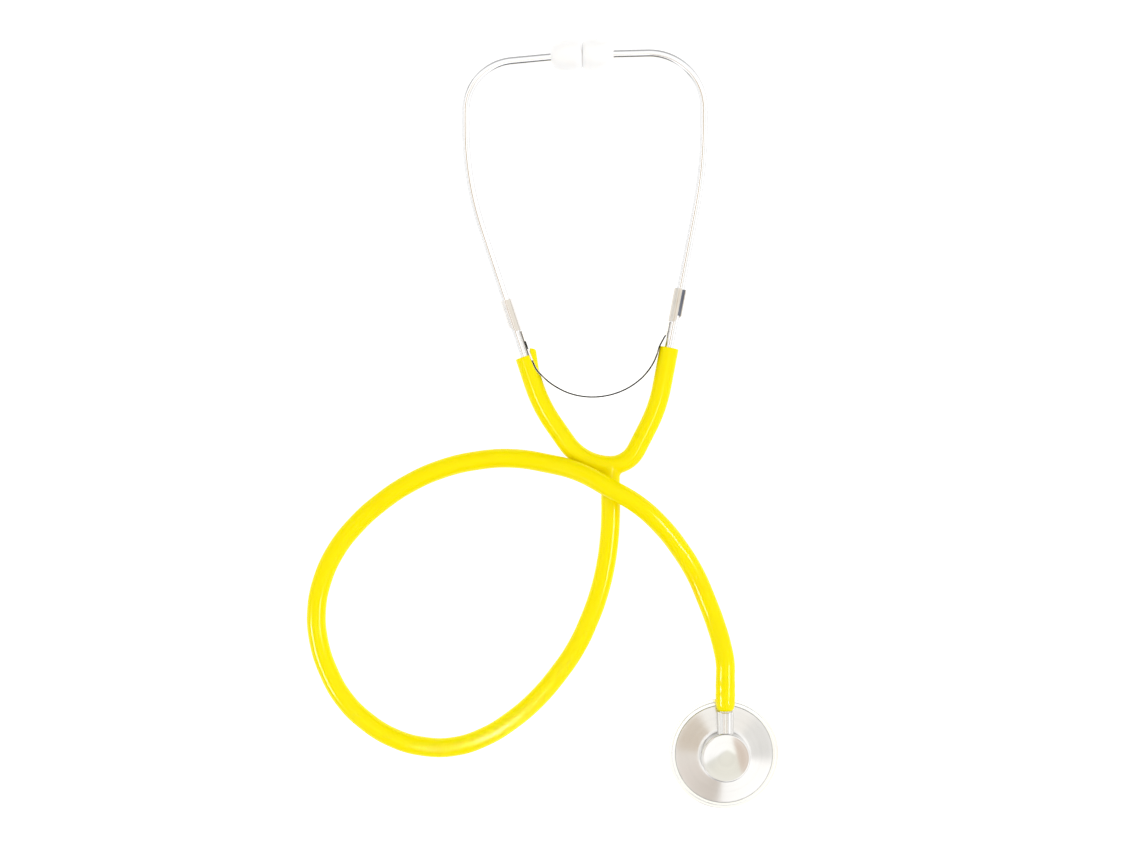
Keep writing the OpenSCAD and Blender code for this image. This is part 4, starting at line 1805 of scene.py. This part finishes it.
    def build_stem(self) -> bpy.types.Object:
        """Turns the stem: grip rings inside the hose, shoulder and neck.

        Returns:
            The mesh object.
        """
        b, rise, length = self.barb_r, self.barb_rise, self.barb_length
        step = length / 6
        grips = [
            (self.channel_r, -length), (b, -length), (b + rise, -length + step), (b, -length + step),
            (b, -length + 2 * step), (b + rise, -length + 3 * step), (b, -length + 3 * step),
        ]
        foot, top = self.shoulder, self.neck_length + self.boss_lap
        neck = [
            (b, foot), (self.neck_r - self.neck_edge, foot), (self.neck_r, foot + self.neck_edge),
            (self.neck_r, top), (self.channel_r, top),
        ]
        profile = [*grips, *neck, grips[0]]
        obj = turned("polished_stem_piece", profile, 64)
        stood(obj, Vector((self.centre[0], self.hose_end_y, self.stem_h)), TO_CHEST_PIECE)
        return shade(obj)

    def build(self, finish: Finishes) -> None:
        """Builds and dresses the chest piece.

        Args:
            finish: the object's finishes.
        """
        head = dress(self.build_head(), finish.head)
        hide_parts("chest_head")
        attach(head, "chestpiece")
        stem = dress(self.build_stem(), finish.stem)
        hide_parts("chest_stem")
        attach(stem, "chestpiece")
        ring = dress(self.build_ring(), finish.ring)
        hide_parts("rim_ring")
        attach(ring, "rim")
        film = dress(self.build_film(), finish.film)
        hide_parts("diaphragm")
        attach(film, "rim")


def by_turn(tones: Sequence[Stop]) -> list[Stop]:
    """Colour stops over a whole turn, from tones at angles of -180 to 180 degrees."""
    return [(angle / 360.0 + 0.5, colour) for angle, colour in tones]


@dataclass(frozen=True)
class Sky:
    """White room whose ceiling has the soft tones that bright metal picks up.

    The tones lie in wedges about the direction that the chest piece mirrors to the camera.
    """

    strength: float = 1.55
    mirrored: Point2 = (0.087, -0.183)
    wedges: tuple[Stop, ...] = (
        (-180.0, (0.6, 0.54, 0.47)), (-160.0, (0.56, 0.48, 0.42)), (-101.0, (0.5, 0.43, 0.37)),
        (-92.0, (1.1, 1.1, 1.1)), (-14.0, (1.1, 1.1, 1.1)), (-2.0, (0.62, 0.62, 0.61)),
        (45.0, (0.62, 0.62, 0.6)), (56.0, (0.84, 0.81, 0.76)), (85.0, (0.88, 0.86, 0.81)),
        (118.0, (0.86, 0.83, 0.77)), (128.0, (0.36, 0.24, 0.1)), (168.0, (0.38, 0.26, 0.13)),
        (180.0, (0.6, 0.54, 0.47)),
    )
    wedge_reach: tuple[float, float, float, float] = (0.34, 0.4, 0.56, 0.64)
    notch: Point2 = (0.09, -0.064)
    middle: tuple[Stop, ...] = (
        (-180.0, WHITE), (-150.0, (0.97, 0.97, 0.97)), (-143.0, (0.7, 0.7, 0.65)),
        (-120.0, (0.76, 0.75, 0.68)), (-31.0, (0.76, 0.75, 0.68)), (-24.0, (0.96, 0.97, 0.92)),
        (180.0, WHITE),
    )
    middle_reach: Point2 = (0.27, 0.34)
    screen: tuple[Stop, ...] = ((0.0, BLACK), (0.612, BLACK), (0.63, WHITE), (1.0, WHITE))
    screen_slant: float = 0.125
    screen_shift: float = 0.023
    screen_tone: Colour = (0.65, 0.555, 0.48)
    gap: tuple[Stop, ...] = (
        (0.0, WHITE), (0.07, WHITE), (0.085, (0.45, 0.45, 0.43)), (0.14, (0.45, 0.45, 0.43)),
        (0.155, WHITE), (1.0, WHITE),
    )
    horizon: tuple[Stop, ...] = ((0.0, (0.4, 0.4, 0.4)), (0.1, (0.5, 0.5, 0.5)), (0.34, WHITE), (1.0, WHITE))
    depth: tuple[Stop, ...] = (
        (0.0, (0.12, 0.12, 0.14)), (0.06, (0.12, 0.12, 0.14)), (0.12, WHITE), (0.7, WHITE),
        (0.8, (0.85, 0.85, 0.85)), (0.9, (0.45, 0.45, 0.45)), (1.0, (0.3, 0.3, 0.3)),
    )

    def build(self) -> None:
        """Makes the world and gives its background the sky's tones."""
        world = bpy.data.worlds.new("surround")
        bpy.context.scene.world = world
        world.use_nodes = True
        sheet = NodeTools(world.node_tree)
        coords = sheet.add("ShaderNodeTexCoord")
        parts = sheet.add("ShaderNodeSeparateXYZ")
        sheet.link(coords.outputs["Generated"], parts.inputs["Vector"])
        x, y, z = parts.outputs
        across = sheet.math("MULTIPLY_ADD", x, 0.5, 0.5)
        forth = sheet.math("MULTIPLY_ADD", y, 0.5, 0.5)
        tinted = self.tones(sheet, x, y, across)
        for factor, stops in ((z, self.horizon), (forth, self.depth), (across, self.gap)):
            tinted = sheet.mixed("MULTIPLY", 1.0, tinted, sheet.ramp(factor, stops))
        seen = sheet.add("ShaderNodeLightPath").outputs["Is Camera Ray"]
        background = sheet.tree.nodes["Background"]
        sheet.link(sheet.mixed("MIX", seen, tinted, WHITE), background.inputs["Color"])
        socket(background, "Strength", self.strength)

    def tones(self, sheet: NodeTools, x: bpy.types.NodeSocket, y: bpy.types.NodeSocket,
              across: bpy.types.NodeSocket) -> bpy.types.NodeSocket:
        """Wedges of tone about the mirrored direction, with the middle and its slanted screen.

        Args:
            sheet: the world's nodes.
            x: part of the direction along X.
            y: part of the direction along Y.
            across: place from left to right, from zero to one.

        Returns:
            The colour socket.
        """
        reach, share = self.polar(sheet, x, y, self.mirrored)
        _, middle_share = self.polar(sheet, x, y, self.notch)
        low, start, end, high = self.wedge_reach
        in_wedges = sheet.ramp(reach, [
            (0.0, BLACK), (low, BLACK), (start, WHITE), (end, WHITE), (high, BLACK), (1.0, BLACK)])
        near, far = self.middle_reach
        in_middle = sheet.ramp(reach, [(0.0, WHITE), (near, WHITE), (far, BLACK)])
        shifted = sheet.math("ADD", across, self.screen_shift)
        slant = sheet.math("MULTIPLY_ADD", y, self.screen_slant, shifted)
        middle = sheet.ramp(middle_share, by_turn(self.middle))
        middle = sheet.mixed("MIX", sheet.ramp(slant, self.screen), middle, self.screen_tone)
        tinted = sheet.mixed("MIX", in_wedges, WHITE, sheet.ramp(share, by_turn(self.wedges)))
        return sheet.mixed("MIX", in_middle, tinted, middle)

    def polar(self, sheet: NodeTools, x: bpy.types.NodeSocket, y: bpy.types.NodeSocket,
              centre: Point2) -> tuple[bpy.types.NodeSocket, bpy.types.NodeSocket]:
        """Distance and turn of a direction about a centre, seen from above.

        Args:
            sheet: the world's nodes.
            x: part of the direction along X.
            y: part of the direction along Y.
            centre: the centre's direction along X and Y.

        Returns:
            The distance's socket and the socket of the turn, from zero to one.
        """
        u = sheet.math("SUBTRACT", x, centre[0])
        v = sheet.math("SUBTRACT", y, centre[1])
        share = sheet.math("MULTIPLY_ADD", sheet.math("ARCTAN2", v, u), 0.5 / math.pi, 0.5)
        reach = sheet.math("SQRT", sheet.math("MULTIPLY_ADD", u, u, sheet.math("MULTIPLY", v, v)))
        return reach, share


@dataclass(frozen=True)
class SoftBox:
    """Lamp that draws highlights on one group of pieces and lights nothing else."""

    name: str
    at: tuple[float, float, float]
    size: Point2
    power: float
    aim: tuple[float, float, float] = (-0.02, 0.0, 0.0)
    cone: float = 180.0

    def hang(self, pieces: bpy.types.Collection) -> None:
        """Adds the lamp.

        Args:
            pieces: collection of the pieces that it draws highlights on.
        """
        bpy.ops.object.light_add(type="AREA", location=self.at)
        lamp = rename(bpy.context.object, self.name)
        lamp.data.shape = "RECTANGLE"
        lamp.data.size, lamp.data.size_y = self.size
        lamp.data.energy = self.power
        lamp.data.spread = math.radians(self.cone)
        lamp.rotation_euler = (Vector(self.aim) - Vector(self.at)).to_track_quat("-Z", "Y").to_euler()
        lamp.visible_diffuse = False
        lamp.light_linking.receiver_collection = pieces


@dataclass(frozen=True)
class Studio:
    """Pale table, bright room and the camera over the object."""

    look_at: Point2 = (-0.02205, -0.00105)
    height: float = 0.75
    plane_z: float = 0.004
    metres_per_pixel: float = 0.00042
    image_width: int = 1140
    sensor: float = 36.0
    table_size: float = 6.0
    hose_boxes: tuple[SoftBox, ...] = (
        SoftBox("left_box", (-1.6, -0.71, 1.0), (0.84, 0.22), 85.0),
        SoftBox("right_box", (0.9, -0.23, 1.0), (0.4, 0.12), 17.0),
        SoftBox("front_box", (-0.08, -0.365, 1.0), (0.13, 0.025), 0.1, (-0.05, -0.128, 0.0), 8.0),
    )
    yoke_boxes: tuple[SoftBox, ...] = (
        SoftBox("arm_box", (-0.61, -0.29, 1.0), (0.2, 0.07), 7.0),
        SoftBox("yoke_box", (0.3, -0.14, 1.0), (0.12, 0.06), 2.4),
    )

    def camera(self) -> None:
        """Hangs the camera straight above the object, framed as the photograph is."""
        bpy.ops.object.camera_add(location=(*self.look_at, self.height), rotation=(0.0, 0.0, 0.0))
        cam = rename(bpy.context.object, "camera")
        span = self.image_width * self.metres_per_pixel
        cam.data.sensor_fit = "HORIZONTAL"
        cam.data.sensor_width = self.sensor
        cam.data.lens = self.sensor * (self.height - self.plane_z) / span
        cam.data.clip_start = 0.01
        cam.data.clip_end = 20.0
        bpy.context.scene.camera = cam

    def table(self) -> None:
        """Lays the table under the object."""
        clear_selection()
        bpy.ops.mesh.primitive_plane_add(size=self.table_size, location=(0.0, 0.0, 0.0))
        floor = settle(rename(bpy.context.object, "table"))
        floor.data.materials.append(TableTop().make())

    def highlights(self, pieces: Sequence[bpy.types.Object]) -> None:
        """Hangs the soft boxes whose lines show on the soft pieces.

        Args:
            pieces: the hose and the yoke.
        """
        hose = bpy.data.collections.new("hose_pieces")
        yoke = bpy.data.collections.new("yoke_pieces")
        for piece in pieces:
            (hose if piece.name.startswith("hose") else yoke).objects.link(piece)
        for group, boxes in ((hose, self.hose_boxes), (yoke, self.yoke_boxes)):
            for box in boxes:
                box.hang(group)

    def build(self) -> None:
        """Builds the whole studio, with plain display colours."""
        self.camera()
        self.table()
        Sky().build()
        bpy.context.scene.view_settings.view_transform = "Standard"


def main() -> None:
    """Builds the object piece by piece."""
    logging.basicConfig(level=logging.INFO, format="%(message)s")
    studio = Studio()
    studio.build()
    finish = Finishes()
    spring = LeafSpring()
    soft = Hose().build(finish) + Yoke().build(finish, spring)
    LEFT_TUBE.build(finish)
    RIGHT_TUBE.build(finish)
    spring.build(finish)
    ChestPiece().build(finish)
    studio.highlights(soft)
    clear_selection()


if __name__ == "__main__":
    main()
